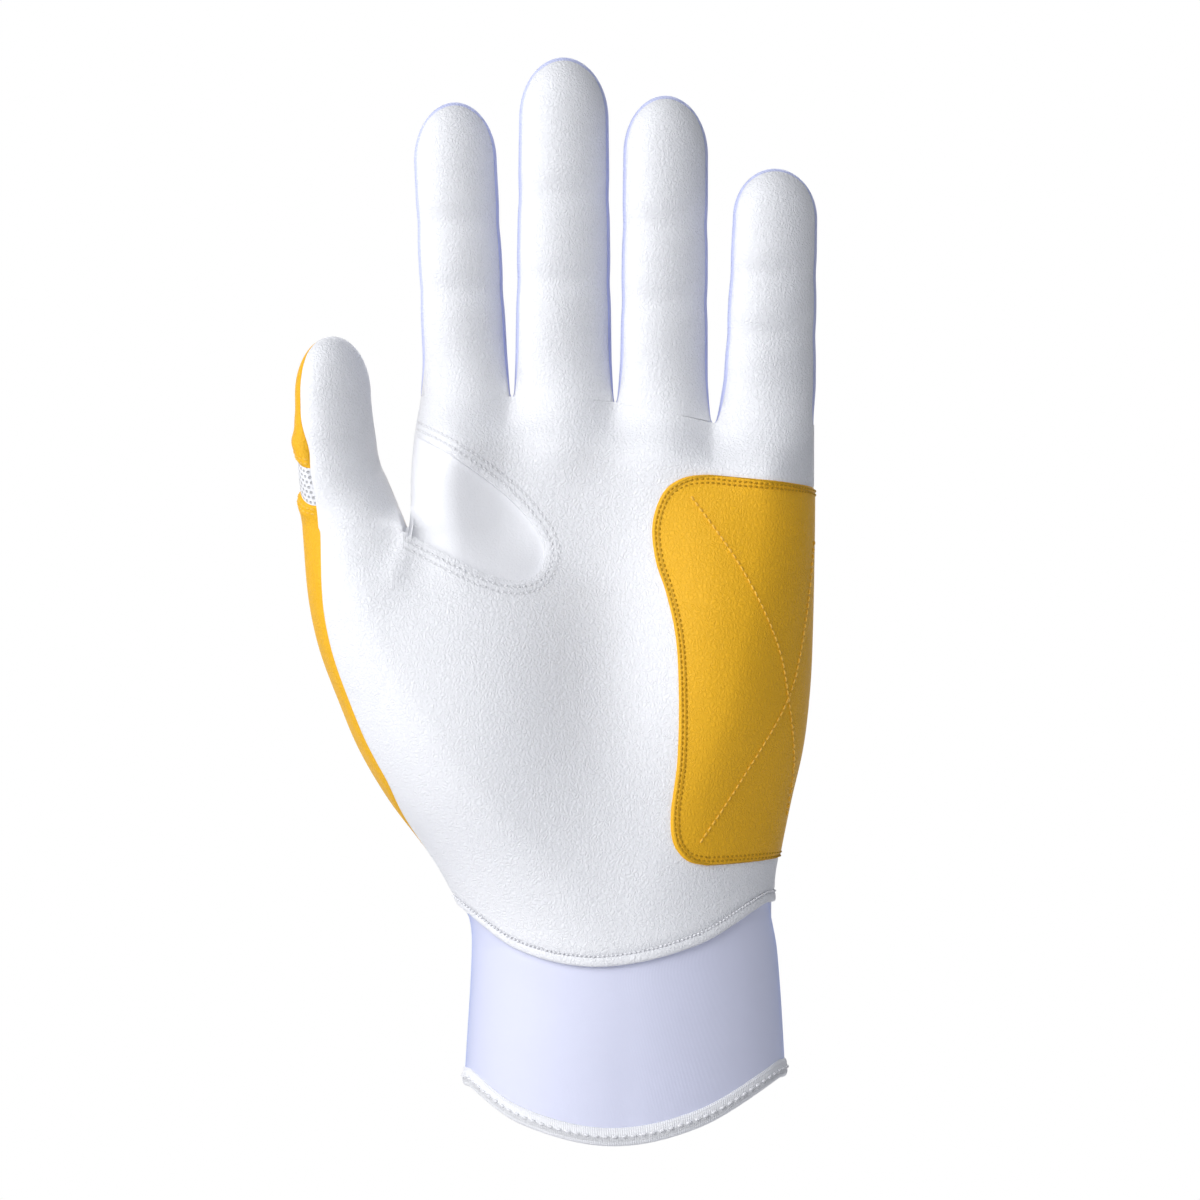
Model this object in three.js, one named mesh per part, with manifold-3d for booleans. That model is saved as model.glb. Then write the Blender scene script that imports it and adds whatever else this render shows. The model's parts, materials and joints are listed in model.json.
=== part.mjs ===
import * as THREE from 'three';
import { mergeVertices } from 'three/addons/utils/BufferGeometryUtils.js';
import Module from 'manifold-3d';

// Batting glove for the left hand, in millimetres, as it stands on an open hand.
// Fingers point to +Z, the palm faces -Y and the thumb is at -X.
// The origin is the middle of the wrist opening, level with the lowest point of the cuff.

// Sheet goods
const LEATHER = 1.2;
const PATCH_LEATHER = 1.2;
const STRETCH = 1.0;
const NEOPRENE = 1.8;
const FOAM = 2.5;
const STRAP = 1.6;
const LOOP_PILE = 0.9;
const HOOK_PILE = 0.8;
const SEAM_GAP = 0.3;
const LAYER_GAP = 0.7;

// Heights up the hand
const THUMB_CROTCH = 138.5;
const INDEX_ROOT = 168.5;
const ROOT_DROPS = [0, 0.3, 1.5, 6.2, 6.5];
const FINGER_ROOTS = ROOT_DROPS.map((drop) => INDEX_ROOT - drop);
const KNUCKLE_SEAM = 152;

// Depth of the webs between the digits, to each side of the hand's middle
const FINGER_WEB = 3;
const THUMB_WEB = 3.5;
const THUMB_FORWARD = 8;
const FORWARD_END = 2.2;
const THUMB_BLEND = 22;
const FINGER_BLEND = 11;
const FINGER_WEB_ENDS = [[1.2, 1.8], [4.2, 4.8]];
const THUMB_WEB_FADE = [0.1, 0.5];

// Outline of the hand, as [height, x]
const LEFT_EDGE = [
  [0, -38], [17, -37.3], [44, -35.8], [51, -36.4], [59.6, -40.3], [66.4, -44.5],
  [77.6, -52.9], [89, -59.6], [100, -64.2], [111.4, -68.4], [122.6, -70.8], [THUMB_CROTCH, -72.2],
];
const RIGHT_EDGE = [
  [0, 38], [17, 37.4], [44, 35.6], [54, 33.9], [60, 33.8], [66.4, 34.9],
  [77.6, 37.2], [89, 39.8], [100, 41.2], [111, 41.9], [THUMB_CROTCH, 42.5], [INDEX_ROOT, 42.6],
];
// Line where the thumb's leather meets the palm's, then the index side of the palm
const WEB_LINE = [
  [0, -12], [45, -18], [100, -36], [THUMB_CROTCH, -48.4], [150, -48.2], [160, -47.6], [INDEX_ROOT, -45.2],
];

// Section of the hand, as [height, size]
const PALM_DEPTH = [
  [0, 24], [45, 23], [75, 20], [110, 15.5], [THUMB_CROTCH, 13], [158, 12], [INDEX_ROOT, 10],
];
const BACK_DEPTH = [
  [0, 22.5], [45, 20.5], [75, 16], [110, 13.5], [THUMB_CROTCH, 12.5], [158, 12], [INDEX_ROOT, 10.5],
];
const EDGE_RADIUS = [
  [0, 36], [45, 34], [75, 26], [110, 17], [THUMB_CROTCH, 13], [158, 11], [INDEX_ROOT, 10],
];
const FORWARD = [[45, 0], [90, 5], [THUMB_CROTCH, THUMB_FORWARD], [INDEX_ROOT, 0]];

// Swellings of the palm
const THUMB_SWELL = { x: -44, z: 98, wide: 17, high: 26, rise: 9 };
const HEEL_SWELL = { x: 24, z: 92, wide: 14, high: 28, rise: 4.5 };
const PALM_HOLLOW = { x: -6, z: 104, wide: 16, high: 22, rise: -2.5 };
const FINGER_PAD = { below: 11, wide: 8, high: 7, rise: 2.2 };

// Digits: places and half widths at root and tip, half depths, the heights of the knuckle and the tip
// over the root, and the height of the round tip
const INDEX = {
  name: 'index', rootX: -35.9, rootHalf: 9.3, tipX: -38.2, tipHalf: 9.4, depth: 9.2, tipDepth: 8.6,
  proximal: 23.5, length: 66.2, cap: 13.5,
};
const MIDDLE = {
  name: 'middle', rootX: -14.1, rootHalf: 10.8, tipX: -13.7, tipHalf: 10.2, depth: 9.7, tipDepth: 9.1,
  proximal: 25.8, length: 76.6, cap: 14,
};
const RING = {
  name: 'ring', rootX: 8.7, rootHalf: 10.1, tipX: 9.2, tipHalf: 9.7, depth: 9.2, tipDepth: 8.6,
  proximal: 22.5, length: 69.2, cap: 13.5,
};
const LITTLE = {
  name: 'little', rootX: 32, rootHalf: 10.6, tipX: 33.5, tipHalf: 9.5, depth: 8.7, tipDepth: 8.1,
  proximal: 19.7, length: 57.5, cap: 11.5,
};
const THUMB = {
  name: 'thumb', rootX: -61.2, rootHalf: 11.2, tipX: -66.6, tipHalf: 8.6, depth: 10.5, tipDepth: 8.4,
  proximal: 16.5, length: 43.1, cap: 13,
};
const FINGERS = [INDEX, MIDDLE, RING, LITTLE];
const FINGER_MESH = 11;
const THUMB_MESH = 9;

// Seams, as angles round a digit from the middle of its front
const FINGER_SEAM = THREE.MathUtils.degToRad(70);
const THUMB_SEAM = THREE.MathUtils.degToRad(68);
const THUMB_ROLL = THREE.MathUtils.degToRad(24);

// Seams of the hand, as shares of a digit's column: 0 to 1 is the thumb, 4 to 5 the little finger
const THUMB_SIDE_SEAM = 0.25;
const THUMB_SIDE_START = 62;
const THUMB_SIDE_END = 84;
const LITTLE_SIDE_SEAM = 5.25;
const INDEX_SIDE_SEAM = 1 / 6;
const BACK_SLIT = [7.3, 7.5];
const CUFF_SIDES = [-0.1, 5.1];

// Cut-out of the palm at the thumb crotch, as [x, height]
const NOTCH = [
  [-60, 160.4], [-49.5, 160.4], [-39.4, 155.3], [-28.1, 147.4], [-21.4, 140.6], [-17.8, 134.3],
  [-19.1, 129], [-23.6, 127.1], [-30.4, 128.5], [-39.4, 132.8], [-47.9, 137.3], [-60, 141.3],
];
const GUSSET_MARGIN = 4;
const GUSSET_TURN = 0.35;
const GUSSET_SINK = 0.5;

// Thumb-side edge of the heel patch from bottom to top, as [x, height], and its straight side
const PATCH_EDGE = [
  [18, 63.6], [13.6, 64.8], [10.6, 68.8], [10.1, 75.4], [11.5, 86.6], [11.9, 100.1], [11.3, 113.6],
  [9.2, 123.8], [6.75, 131.6], [6.1, 139.5], [8.6, 147], [14.6, 150.1],
];
const PATCH_SIDE = [64.4, 147.6];
const PATCH_TURN = 5.14;
const FOAM_INSET = 6;
const FOAM_SINK = 0.2;
const FOAM_TURN = 4.85;

// Hems, as [x, height]
const PALM_HEM = [[-37, 55], [-23.6, 45], [-6, 41.4], [16.9, 46.1], [34, 55]];
const CUFF_EDGE = [[-36.5, 13], [-23.6, 4.5], [-3.4, 0], [16.9, 4], [36.5, 16]];
const HEM_WIDTH = 2;
const HEM_RISE = 0.2;
const BINDING = 3.2;
const BINDING_RISE = 0.4;
const CUFF_TUCK = 9;
const WING_TOP = 73;
const WING_SIDE = 5.32;
const WING_BLEND = 8;
const RADIAL_SIDE = 9.7;
const RADIAL_TOP = 62;
const SLIT_DROP = 0.8;
const CUFF_FLARE = [43, 55];

// Closing strap across the back of the cuff
const STRAP_SPAN = [5.45, 8.7];
const STRAP_HEIGHT = [20, 45];
const PATCH_SPAN = [7.75, 8.6];
const STRAP_RAMP = [0.3, 0.2];
const PILE_MARGIN = 3;

const wasm = await Module();
wasm.setup();

const clamp01 = (t) => Math.min(1, Math.max(0, t));
const mix = (a, b, t) => a + (b - a) * t;
const swing = (f) => (1 - Math.cos(Math.PI * f)) / 2;
const roundEdge = (t) => Math.sqrt(1 - (1 - clamp01(t)) ** 2);

function ease(from, to, t) {
  const s = clamp01((t - from) / (to - from));
  return s * s * (3 - 2 * s);
}

// A smooth curve through [position, value] stations, level beyond both ends
function curveThrough(stations) {
  const last = stations.length - 1;
  const slope = (i) => {
    const [a, b] = [stations[Math.max(i - 1, 0)], stations[Math.min(i + 1, last)]];
    return (b[1] - a[1]) / (b[0] - a[0]);
  };
  return (at) => {
    const place = Math.min(Math.max(at, stations[0][0]), stations[last][0]);
    const i = Math.max(stations.slice(1, last).filter((s) => s[0] <= place).length, 0);
    const [[a, low], [b, high]] = [stations[i], stations[i + 1]];
    const width = b - a;
    const t = (place - a) / width;
    const rise = high - low;
    const [m, n] = [slope(i) * width - rise, rise - slope(i + 1) * width];
    return low + rise * t + t * (1 - t) * (m * (1 - t) + n * t);
  };
}

const leftEdge = curveThrough(LEFT_EDGE);
const rightEdge = curveThrough(RIGHT_EDGE);
const webLine = curveThrough(WEB_LINE);
const palmDepth = curveThrough(PALM_DEPTH);
const backDepth = curveThrough(BACK_DEPTH);
const edgeRadius = curveThrough(EDGE_RADIUS);
const forward = curveThrough(FORWARD);
const palmHem = curveThrough(PALM_HEM);
const cuffEdge = curveThrough(CUFF_EDGE);
const notchTop = curveThrough(NOTCH.slice(1, 6));

// Each digit's own frame: its root line, the start of its round tip and its middle in depth
const DIGITS = [
  { ...THUMB, rootLow: THUMB_CROTCH, rootHigh: THUMB_CROTCH, y: -THUMB_FORWARD, roll: THUMB_ROLL },
  ...FINGERS.map((finger, i) => (
    { ...finger, rootLow: FINGER_ROOTS[i], rootHigh: FINGER_ROOTS[i + 1], y: 0, roll: 0 })),
];
DIGITS.forEach((d) => {
  d.knuckle = d.rootLow + d.proximal;
  d.capBase = d.rootLow + d.length - d.cap;
});

// Valleys between the fingers, as shares of the palm's width
const VALLEYS = [1, 2, 3].map((i) => {
  const [a, b] = [DIGITS[i], DIGITS[i + 1]];
  const x = (a.rootX + a.rootHalf + b.rootX - b.rootHalf) / 2;
  const [from, to] = [webLine(INDEX_ROOT), rightEdge(INDEX_ROOT)];
  return (x - from) / (to - from);
});

function columnEdges(z) {
  const [web, right] = [webLine(z), rightEdge(z)];
  return [leftEdge(z), web, ...VALLEYS.map((v) => mix(web, right, v)), right];
}

function rootHeight(u) {
  const i = Math.min(Math.max(Math.floor(u), 1), 4);
  return mix(FINGER_ROOTS[i - 1], FINGER_ROOTS[i], swing(clamp01(u - i)));
}

function swell(x, z) {
  const bump = (p, px, pz) => p.rise * Math.exp(-(((x - px) / p.wide) ** 2) - ((z - pz) / p.high) ** 2);
  const palm = [THUMB_SWELL, HEEL_SWELL, PALM_HOLLOW].reduce((sum, p) => sum + bump(p, p.x, p.z), 0);
  const padHeight = (i) => FINGER_ROOTS[i] - FINGER_PAD.below;
  const pads = FINGERS.reduce((sum, f, i) => sum + bump(FINGER_PAD, f.rootX, padHeight(i)), 0);
  return palm + pads;
}

function webDepth(u, z) {
  const [start, end] = FINGER_WEB_ENDS;
  const fingers = FINGER_WEB * ease(...start, u) * (1 - ease(...end, u));
  const thumb = z > THUMB_CROTCH ? 0 : THUMB_WEB * (1 - ease(...THUMB_WEB_FADE, Math.abs(u - 1)));
  return Math.max(fingers, thumb);
}

// The hand's outside at a place k round it and a height z. Below the thumb crotch, k runs 0 to 5 across
// the front from the thumb side and 5 to 10 across the back; above it the hand's thumb side is at k = 1.
function skin(k, z) {
  const start = z > THUMB_CROTCH ? 1 : 0;
  const turn = k > 10 ? k - 10 : k;
  const back = turn > 5 || turn < start;
  const u = turn > 5 ? 10 - turn : turn < start ? 2 * start - turn : turn;
  const column = Math.min(Math.floor(u), 4);
  const f = u - column;
  const edges = columnEdges(z);
  const x = mix(edges[column], edges[column + 1], swing(f));
  const parted = z > THUMB_CROTCH ? 1 : ease(THUMB_CROTCH - THUMB_BLEND, THUMB_CROTCH, z);
  const fingered = column > 0 ? ease(rootHeight(u) - FINGER_BLEND, rootHeight(u), z) : 0;
  const round = edgeRadius(z);
  const littleSide = roundEdge((edges[5] - x) / round);
  const whole = roundEdge((x - edges[0]) / round) * littleSide;
  const digit = Math.sin(Math.PI * f);
  const split = column === 0 ? digit : roundEdge((x - edges[1]) / round) * littleSide;
  const fullness = mix(mix(whole, split, parted), digit, fingered);
  const own = column === 0 ? parted : fingered;
  const depth = mix((back ? backDepth : palmDepth)(z), DIGITS[column].depth, own);
  const reach = Math.max(depth * fullness, webDepth(u, z));
  const middle = -forward(z) * (1 - ease(1, FORWARD_END, u));
  const y = back ? middle + reach : middle - reach - swell(x, z) * fullness;
  return new THREE.Vector3(x, y, z);
}

function handSkin(k, z) {
  const [sideStep, upStep, edge] = [0.06, 1, 1e-3];
  const above = z > THUMB_CROTCH;
  const low = above ? Math.max(z - upStep, THUMB_CROTCH + edge) : z - upStep;
  const high = above ? z + upStep : Math.min(z + upStep, THUMB_CROTCH);
  const across = skin(k + sideStep, z).sub(skin(k - sideStep, z));
  const up = skin(k, high).sub(skin(k, low));
  return { point: skin(k, z), normal: across.cross(up).normalize() };
}

// The place k of a point of the palm at x
function placeOf(x, z) {
  const edges = columnEdges(z);
  const column = [1, 2, 3, 4].filter((i) => edges[i] <= x).length;
  const share = clamp01((x - edges[column]) / (edges[column + 1] - edges[column]));
  return column + Math.acos(1 - 2 * share) / Math.PI;
}

// A digit's outside: a direction from its middle line, carried up the digit and over its round tip
function digitSkin(digit, direction, z) {
  const root = Math.min(digit.rootLow, digit.rootHigh);
  const ring = Math.min(z, digit.capBase);
  const t = (ring - root) / (digit.capBase - root);
  const half = mix(digit.rootHalf, digit.tipHalf, t);
  const reach = new THREE.Vector3(half, mix(digit.depth, digit.tipDepth, t), digit.cap);
  const turned = direction.clone().applyAxisAngle(new THREE.Vector3(0, 0, 1), digit.roll);
  const centre = new THREE.Vector3(mix(digit.rootX, digit.tipX, t), digit.y, ring);
  return { point: turned.clone().multiply(reach).add(centre), normal: turned.divide(reach).normalize() };
}

// The slanting line where a finger leaves the palm
function rootLine(digit, direction) {
  return mix(digit.rootLow, digit.rootHigh, (direction.x + 1) / 2);
}

// A sheet of even thickness over a grid of places. Its edges stand back by half a seam.
function panel({ columns, rows, at, lift = () => 0, thickness, keep = () => true }) {
  const kept = (i, j) => i >= 0 && j >= 0 && i < columns && j < rows && keep(i, j);
  const cellsRound = (i, j) => ({
    lowLeft: kept(i - 1, j - 1), lowRight: kept(i, j - 1), highLeft: kept(i - 1, j), highRight: kept(i, j),
  });
  const places = new Map();
  const place = (i, j) => {
    const key = i * (rows + 1) + j;
    if (!places.has(key)) places.set(key, at(i / columns, j / rows, i, j));
    return places.get(key);
  };
  const stepTo = (target, from) => target.point.clone().sub(from).setLength(SEAM_GAP / 2);
  const edged = (i, j) => {
    const cells = cellsRound(i, j);
    const point = place(i, j).point.clone();
    const start = place(i, j).point;
    if (!cells.lowLeft && !cells.highLeft) point.add(stepTo(place(i + 1, j), start));
    if (!cells.lowRight && !cells.highRight) point.add(stepTo(place(i - 1, j), start));
    if (!cells.lowLeft && !cells.lowRight) point.add(stepTo(place(i, j + 1), start));
    if (!cells.highLeft && !cells.highRight) point.add(stepTo(place(i, j - 1), start));
    return point;
  };
  const positions = [];
  const faces = [];
  const corners = new Map();
  const corner = (i, j) => {
    const key = i * (rows + 1) + j;
    if (!corners.has(key)) {
      const { normal } = place(i, j);
      const rise = lift(i / columns, j / rows, i, j);
      const base = edged(i, j);
      corners.set(key, positions.length / 3);
      positions.push(...base.clone().addScaledVector(normal, rise).toArray());
      positions.push(...base.clone().addScaledVector(normal, rise - thickness).toArray());
    }
    return corners.get(key);
  };
  const quad = (a, b, c, d) => faces.push(a, b, c, a, c, d);
  for (let i = 0; i < columns; i++) {
    for (let j = 0; j < rows; j++) {
      if (!kept(i, j)) continue;
      const [a, b, c, d] = [corner(i, j), corner(i + 1, j), corner(i + 1, j + 1), corner(i, j + 1)];
      quad(a, b, c, d);
      quad(d + 1, c + 1, b + 1, a + 1);
      if (!kept(i, j - 1)) quad(a, a + 1, b + 1, b);
      if (!kept(i + 1, j)) quad(b, b + 1, c + 1, c);
      if (!kept(i, j + 1)) quad(c, c + 1, d + 1, d);
      if (!kept(i - 1, j)) quad(d, d + 1, a + 1, a);
    }
  }
  return closedGeometry(positions, faces);
}

// A closed mesh with its faces turned outwards
function closedGeometry(positions, faces) {
  const corner = (n) => new THREE.Vector3().fromArray(positions, 3 * n);
  let volume = 0;
  for (let n = 0; n < faces.length; n += 3) {
    volume += corner(faces[n]).dot(corner(faces[n + 1]).cross(corner(faces[n + 2])));
  }
  if (volume < 0) faces.reverse();
  const geometry = new THREE.BufferGeometry();
  geometry.setAttribute('position', new THREE.Float32BufferAttribute(positions, 3));
  geometry.setIndex(faces);
  geometry.computeVertexNormals();
  return geometry;
}

function toSolid(geometry) {
  const bare = geometry.clone();
  bare.deleteAttribute('normal');
  bare.deleteAttribute('uv');
  const merged = mergeVertices(bare);
  return new wasm.Manifold(new wasm.Mesh({
    numProp: 3,
    vertProperties: Float32Array.from(merged.attributes.position.array),
    triVerts: Uint32Array.from(merged.index.array),
  }));
}

function cutAway(geometry, cutter) {
  const mesh = toSolid(geometry).subtract(toSolid(cutter)).getMesh();
  return closedGeometry(Array.from(mesh.vertProperties), Array.from(mesh.triVerts));
}

// Finishes
const finish = (color, roughness) => new THREE.MeshStandardMaterial({ color, roughness, metalness: 0 });
const WHITE_LEATHER = finish(0xf2f1f4, 0.6);
const YELLOW_LEATHER = finish(0xe9af2b, 0.55);
const WHITE_STRETCH = finish(0xdfe0f2, 0.75);
const WHITE_MESH = finish(0xe9e9f3, 0.85);
const CUFF_SATIN = finish(0xe6e8f8, 0.4);
const TAPE = finish(0xf3f3f6, 0.65);
const PAD_FOAM = finish(0xd8d4c8, 0.9);
const PILE = finish(0xe2e3ea, 0.95);

const piece = (name, geometry, material) => {
  const mesh = new THREE.Mesh(geometry, material);
  mesh.name = name;
  return mesh;
};

// Lifts of the layers over the hand's outside
const UNDER_LEATHER = -(LEATHER + LAYER_GAP);
const OVER_LEATHER = LAYER_GAP;

function thumbSideSeam(z) {
  return THUMB_SIDE_SEAM * ease(THUMB_SIDE_START, THUMB_SIDE_END, z);
}

// Heights in two blocks, below and above the thumb crotch
function blockHeight(j, lowerRows, upperRows, bottom, top) {
  if (j <= lowerRows) return mix(bottom, THUMB_CROTCH, j / lowerRows);
  return mix(THUMB_CROTCH, top, (j - lowerRows) / upperRows);
}

// Places across the four finger columns, from a seam near the thumb side to one past the little finger
function fingerPlaces(perColumn) {
  const places = [1, 1 + INDEX_SIDE_SEAM];
  for (let n = 1; n < perColumn; n++) places.push(mix(1 + INDEX_SIDE_SEAM, 2, n / perColumn));
  for (let n = 0; n <= 3 * perColumn; n++) places.push(2 + n / perColumn);
  places.push(mix(5, LITTLE_SIDE_SEAM, 0.5), LITTLE_SIDE_SEAM);
  return places;
}

// Height of the palm's lower edge at a place round the wrist
function hemHeight(k) {
  return palmHem(skin(k, palmHem(0)).x);
}

const THUMB_PLACES = [0, 0.2, 0.4, 0.6, 0.8];
const LOWER_ROWS = 10;
const PALM_STEPS = 4;

function palmLeather() {
  const upperRows = 5;
  const places = [...THUMB_PLACES, ...fingerPlaces(PALM_STEPS)];
  const crotch = THUMB_PLACES.length;
  const at = (s, t, i, j) => {
    const top = rootHeight(places[i] > 5 ? 10 - places[i] : places[i]);
    const z = blockHeight(j, LOWER_ROWS, upperRows, hemHeight(places[i]) + HEM_WIDTH, top);
    return handSkin(i < crotch ? mix(thumbSideSeam(z), 1, places[i]) : places[i], z);
  };
  const keep = (i, j) => j < LOWER_ROWS || i > crotch;
  const grid = { columns: places.length - 1, rows: LOWER_ROWS + upperRows };
  return cutAway(panel({ ...grid, at, thickness: LEATHER, keep }), notchCutter());
}

function notchCutter() {
  const depth = 4 * Math.max(...PALM_DEPTH.map((station) => station[1]));
  const outline = new THREE.Shape();
  const points = NOTCH.map(([x, z]) => new THREE.Vector2(x, z));
  outline.moveTo(points[0].x, points[0].y);
  outline.lineTo(points[1].x, points[1].y);
  outline.splineThru(points.slice(2, -1));
  outline.lineTo(points.at(-1).x, points.at(-1).y);
  const cutter = new THREE.ExtrudeGeometry(outline, { depth, bevelEnabled: false, curveSegments: 2 });
  return cutter.rotateX(Math.PI / 2);
}

// The gusset lies under the palm leather all round the cut-out and turns round the index side of the hand
function thumbGusset() {
  const heights = NOTCH.slice(1, -1).map((p) => p[1]);
  const low = Math.min(...heights) - GUSSET_MARGIN;
  const high = Math.max(...heights) + GUSSET_MARGIN / 2;
  const right = Math.max(...NOTCH.map((p) => p[0])) + GUSSET_MARGIN;
  const front = fingerPlaces(PALM_STEPS).slice(1).filter((k) => skin(k, low).x < right);
  const turn = [3, 2, 1].map((n) => mix(1 + INDEX_SIDE_SEAM, 1 - GUSSET_TURN, n / 3));
  const places = [...turn, ...front];
  const [lowerRows, upperRows] = [3, 6];
  const justAbove = 1e-2;
  const at = (s, t, i, j) => {
    const z = blockHeight(j, lowerRows, upperRows, low, high);
    return handSkin(places[i], j === lowerRows ? z + justAbove : z);
  };
  const under = (i, j) => {
    const { x, z } = at(0, 0, i, j).point;
    return z < notchTop(x) + GUSSET_MARGIN;
  };
  const keep = (i, j) => (j >= lowerRows || i >= turn.length) && under(i, j);
  return panel({ columns: places.length - 1, rows: lowerRows + upperRows, at, keep,
    lift: () => UNDER_LEATHER - GUSSET_SINK, thickness: STRETCH });
}

// A patch ruled between its curved edge and its straight side, drawn in by an inset
function heelSheet(inset, turn, columns, rows, lift, thickness) {
  const edge = new THREE.SplineCurve(PATCH_EDGE.map(([x, z]) => new THREE.Vector2(x, z)));
  const middle = (PATCH_SIDE[0] + PATCH_SIDE[1]) / 2;
  const squeeze = 1 - 2 * inset / (PATCH_SIDE[1] - PATCH_SIDE[0]);
  const at = (s, t) => {
    const start = edge.getPoint(t);
    const left = middle + (start.y - middle) * squeeze;
    const right = middle + (mix(...PATCH_SIDE, t) - middle) * squeeze;
    const k = mix(placeOf(start.x + inset, left), turn, s);
    return handSkin(k, mix(left, right, s));
  };
  return panel({ columns, rows, at, lift: () => lift, thickness });
}

const heelPatch = () => heelSheet(0, PATCH_TURN, 8, 16, OVER_LEATHER + PATCH_LEATHER, PATCH_LEATHER);
const heelFoam = () => heelSheet(FOAM_INSET, FOAM_TURN, 6, 10, UNDER_LEATHER - FOAM_SINK, FOAM);

function backhandPanel() {
  const [thumbColumns, upperRows] = [5, 2];
  const backHem = PALM_HEM[0][1] + HEM_WIDTH;
  const fingers = fingerPlaces(3).map((k) => (k > 5 ? k : 10 - k)).sort((a, b) => a - b);
  const places = fingers.filter((k) => k >= LITTLE_SIDE_SEAM && k !== 5);
  const across = places.length - 1;
  const at = (s, t, i, j) => {
    const z = blockHeight(j, LOWER_ROWS, upperRows, backHem, KNUCKLE_SEAM);
    const k = i <= across ? places[i] : mix(9, 10 + thumbSideSeam(z), (i - across) / thumbColumns);
    return handSkin(k, z);
  };
  const keep = (i, j) => j < LOWER_ROWS || i < across - 1;
  const grid = { columns: across + thumbColumns, rows: LOWER_ROWS + upperRows };
  return panel({ ...grid, at, thickness: LEATHER, keep });
}

function knuckleBand() {
  const [columns, rows] = [16, 3];
  const at = (s, t) => {
    const k = mix(LITTLE_SIDE_SEAM, 9 - INDEX_SIDE_SEAM, s);
    return handSkin(k, mix(KNUCKLE_SEAM, rootHeight(10 - k), t));
  };
  return panel({ columns, rows, at, thickness: STRETCH });
}

// The cuff lies under the palm leather and, on the back, flares out over the hem of the backhand
function cuffBottom(k) {
  const x = skin(k, 0).x;
  const front = k >= 0 && k <= 5;
  const share = (x - CUFF_EDGE[0][0]) / (CUFF_EDGE.at(-1)[0] - CUFF_EDGE[0][0]);
  return front ? cuffEdge(x) : mix(CUFF_EDGE[0][1], CUFF_EDGE.at(-1)[1], clamp01(share));
}

function cuffLift(z) {
  return mix(UNDER_LEATHER, OVER_LEATHER + NEOPRENE, ease(...CUFF_FLARE, z));
}

// Columns of the cuff, so that its pieces and its binding meet along the same line
const CUFF_STEP = 0.2;
const cuffColumns = (from, to) => Math.round(Math.abs(to - from) / CUFF_STEP);

function cuffFront() {
  const at = (s, t) => {
    const k = mix(...CUFF_SIDES, s);
    return handSkin(k, mix(cuffBottom(k) + BINDING, hemHeight(k) + CUFF_TUCK, t));
  };
  const grid = { columns: cuffColumns(...CUFF_SIDES), rows: 5 };
  return panel({ ...grid, at, lift: () => UNDER_LEATHER, thickness: NEOPRENE });
}

// One half of the cuff's back, whose free corner passes behind the palm's edge
function cuffBack(slit, side, wing, top) {
  const slitTop = mix(top, RADIAL_TOP, SLIT_DROP);
  const heightAt = (s, t) => mix(cuffBottom(mix(side, slit, s)) + BINDING, mix(top, slitTop, s), t);
  const at = (s, t) => {
    const z = heightAt(s, t);
    const edge = mix(side, wing, ease(CUFF_FLARE[1], CUFF_FLARE[1] + WING_BLEND, z));
    return handSkin(mix(edge, slit, s), z);
  };
  const lift = (s, t) => cuffLift(heightAt(s, t));
  return panel({ columns: cuffColumns(side, slit), rows: 7, at, lift, thickness: NEOPRENE });
}

function cuffBinding() {
  const ends = [BACK_SLIT[1] - 10, BACK_SLIT[0]];
  const at = (s, t) => {
    const k = mix(...ends, s);
    return handSkin(k, cuffBottom(k) + BINDING * t);
  };
  const grid = { columns: cuffColumns(...ends), rows: 1 };
  const lift = () => UNDER_LEATHER + BINDING_RISE;
  return panel({ ...grid, at, lift, thickness: NEOPRENE + 2 * BINDING_RISE });
}

function palmHemBinding() {
  const places = [...THUMB_PLACES, ...fingerPlaces(PALM_STEPS)].filter((k) => k <= 5);
  const at = (s, t, i) => handSkin(places[i], hemHeight(places[i]) + HEM_WIDTH * t);
  const grid = { columns: places.length - 1, rows: 1 };
  return panel({ ...grid, at, lift: () => HEM_RISE, thickness: LEATHER + HEM_RISE });
}

// Layers of the closure: the strap rides up over both piles at its free end
const PILE_STACK = LOOP_PILE + HOOK_PILE + 2 * LAYER_GAP;

function strapSheet(span, heights, columns, rows, base, thickness) {
  const heightAt = (t) => mix(...heights, t);
  const at = (s, t) => handSkin(mix(...span, s), heightAt(t));
  const lift = (s, t) => cuffLift(heightAt(t)) + LAYER_GAP + base(mix(...span, s)) + thickness;
  return panel({ columns, rows, at, lift, thickness });
}

const pileHeight = [STRAP_HEIGHT[0] + PILE_MARGIN, STRAP_HEIGHT[1] - PILE_MARGIN];
const strapTab = () => strapSheet(STRAP_SPAN, STRAP_HEIGHT, 14, 4,
  (k) => PILE_STACK * ease(STRAP_SPAN[0] + STRAP_RAMP[0], PATCH_SPAN[0] - STRAP_RAMP[1], k), STRAP);
const loopPatch = () => strapSheet(PATCH_SPAN, pileHeight, 4, 3, () => 0, LOOP_PILE);
const hookPatch = () => strapSheet(PATCH_SPAN, pileHeight, 4, 3, () => LOOP_PILE + LAYER_GAP, HOOK_PILE);

// A stretch of a digit's straight part, between two angles and two heights
function digitStrip(digit, angles, low, high, columns, rows, thickness) {
  const at = (s, t) => {
    const angle = mix(...angles, s);
    const direction = new THREE.Vector3(Math.sin(angle), -Math.cos(angle), 0);
    return digitSkin(digit, direction, mix(low(direction), high(direction), t));
  };
  return panel({ columns, rows, at, thickness });
}

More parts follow.
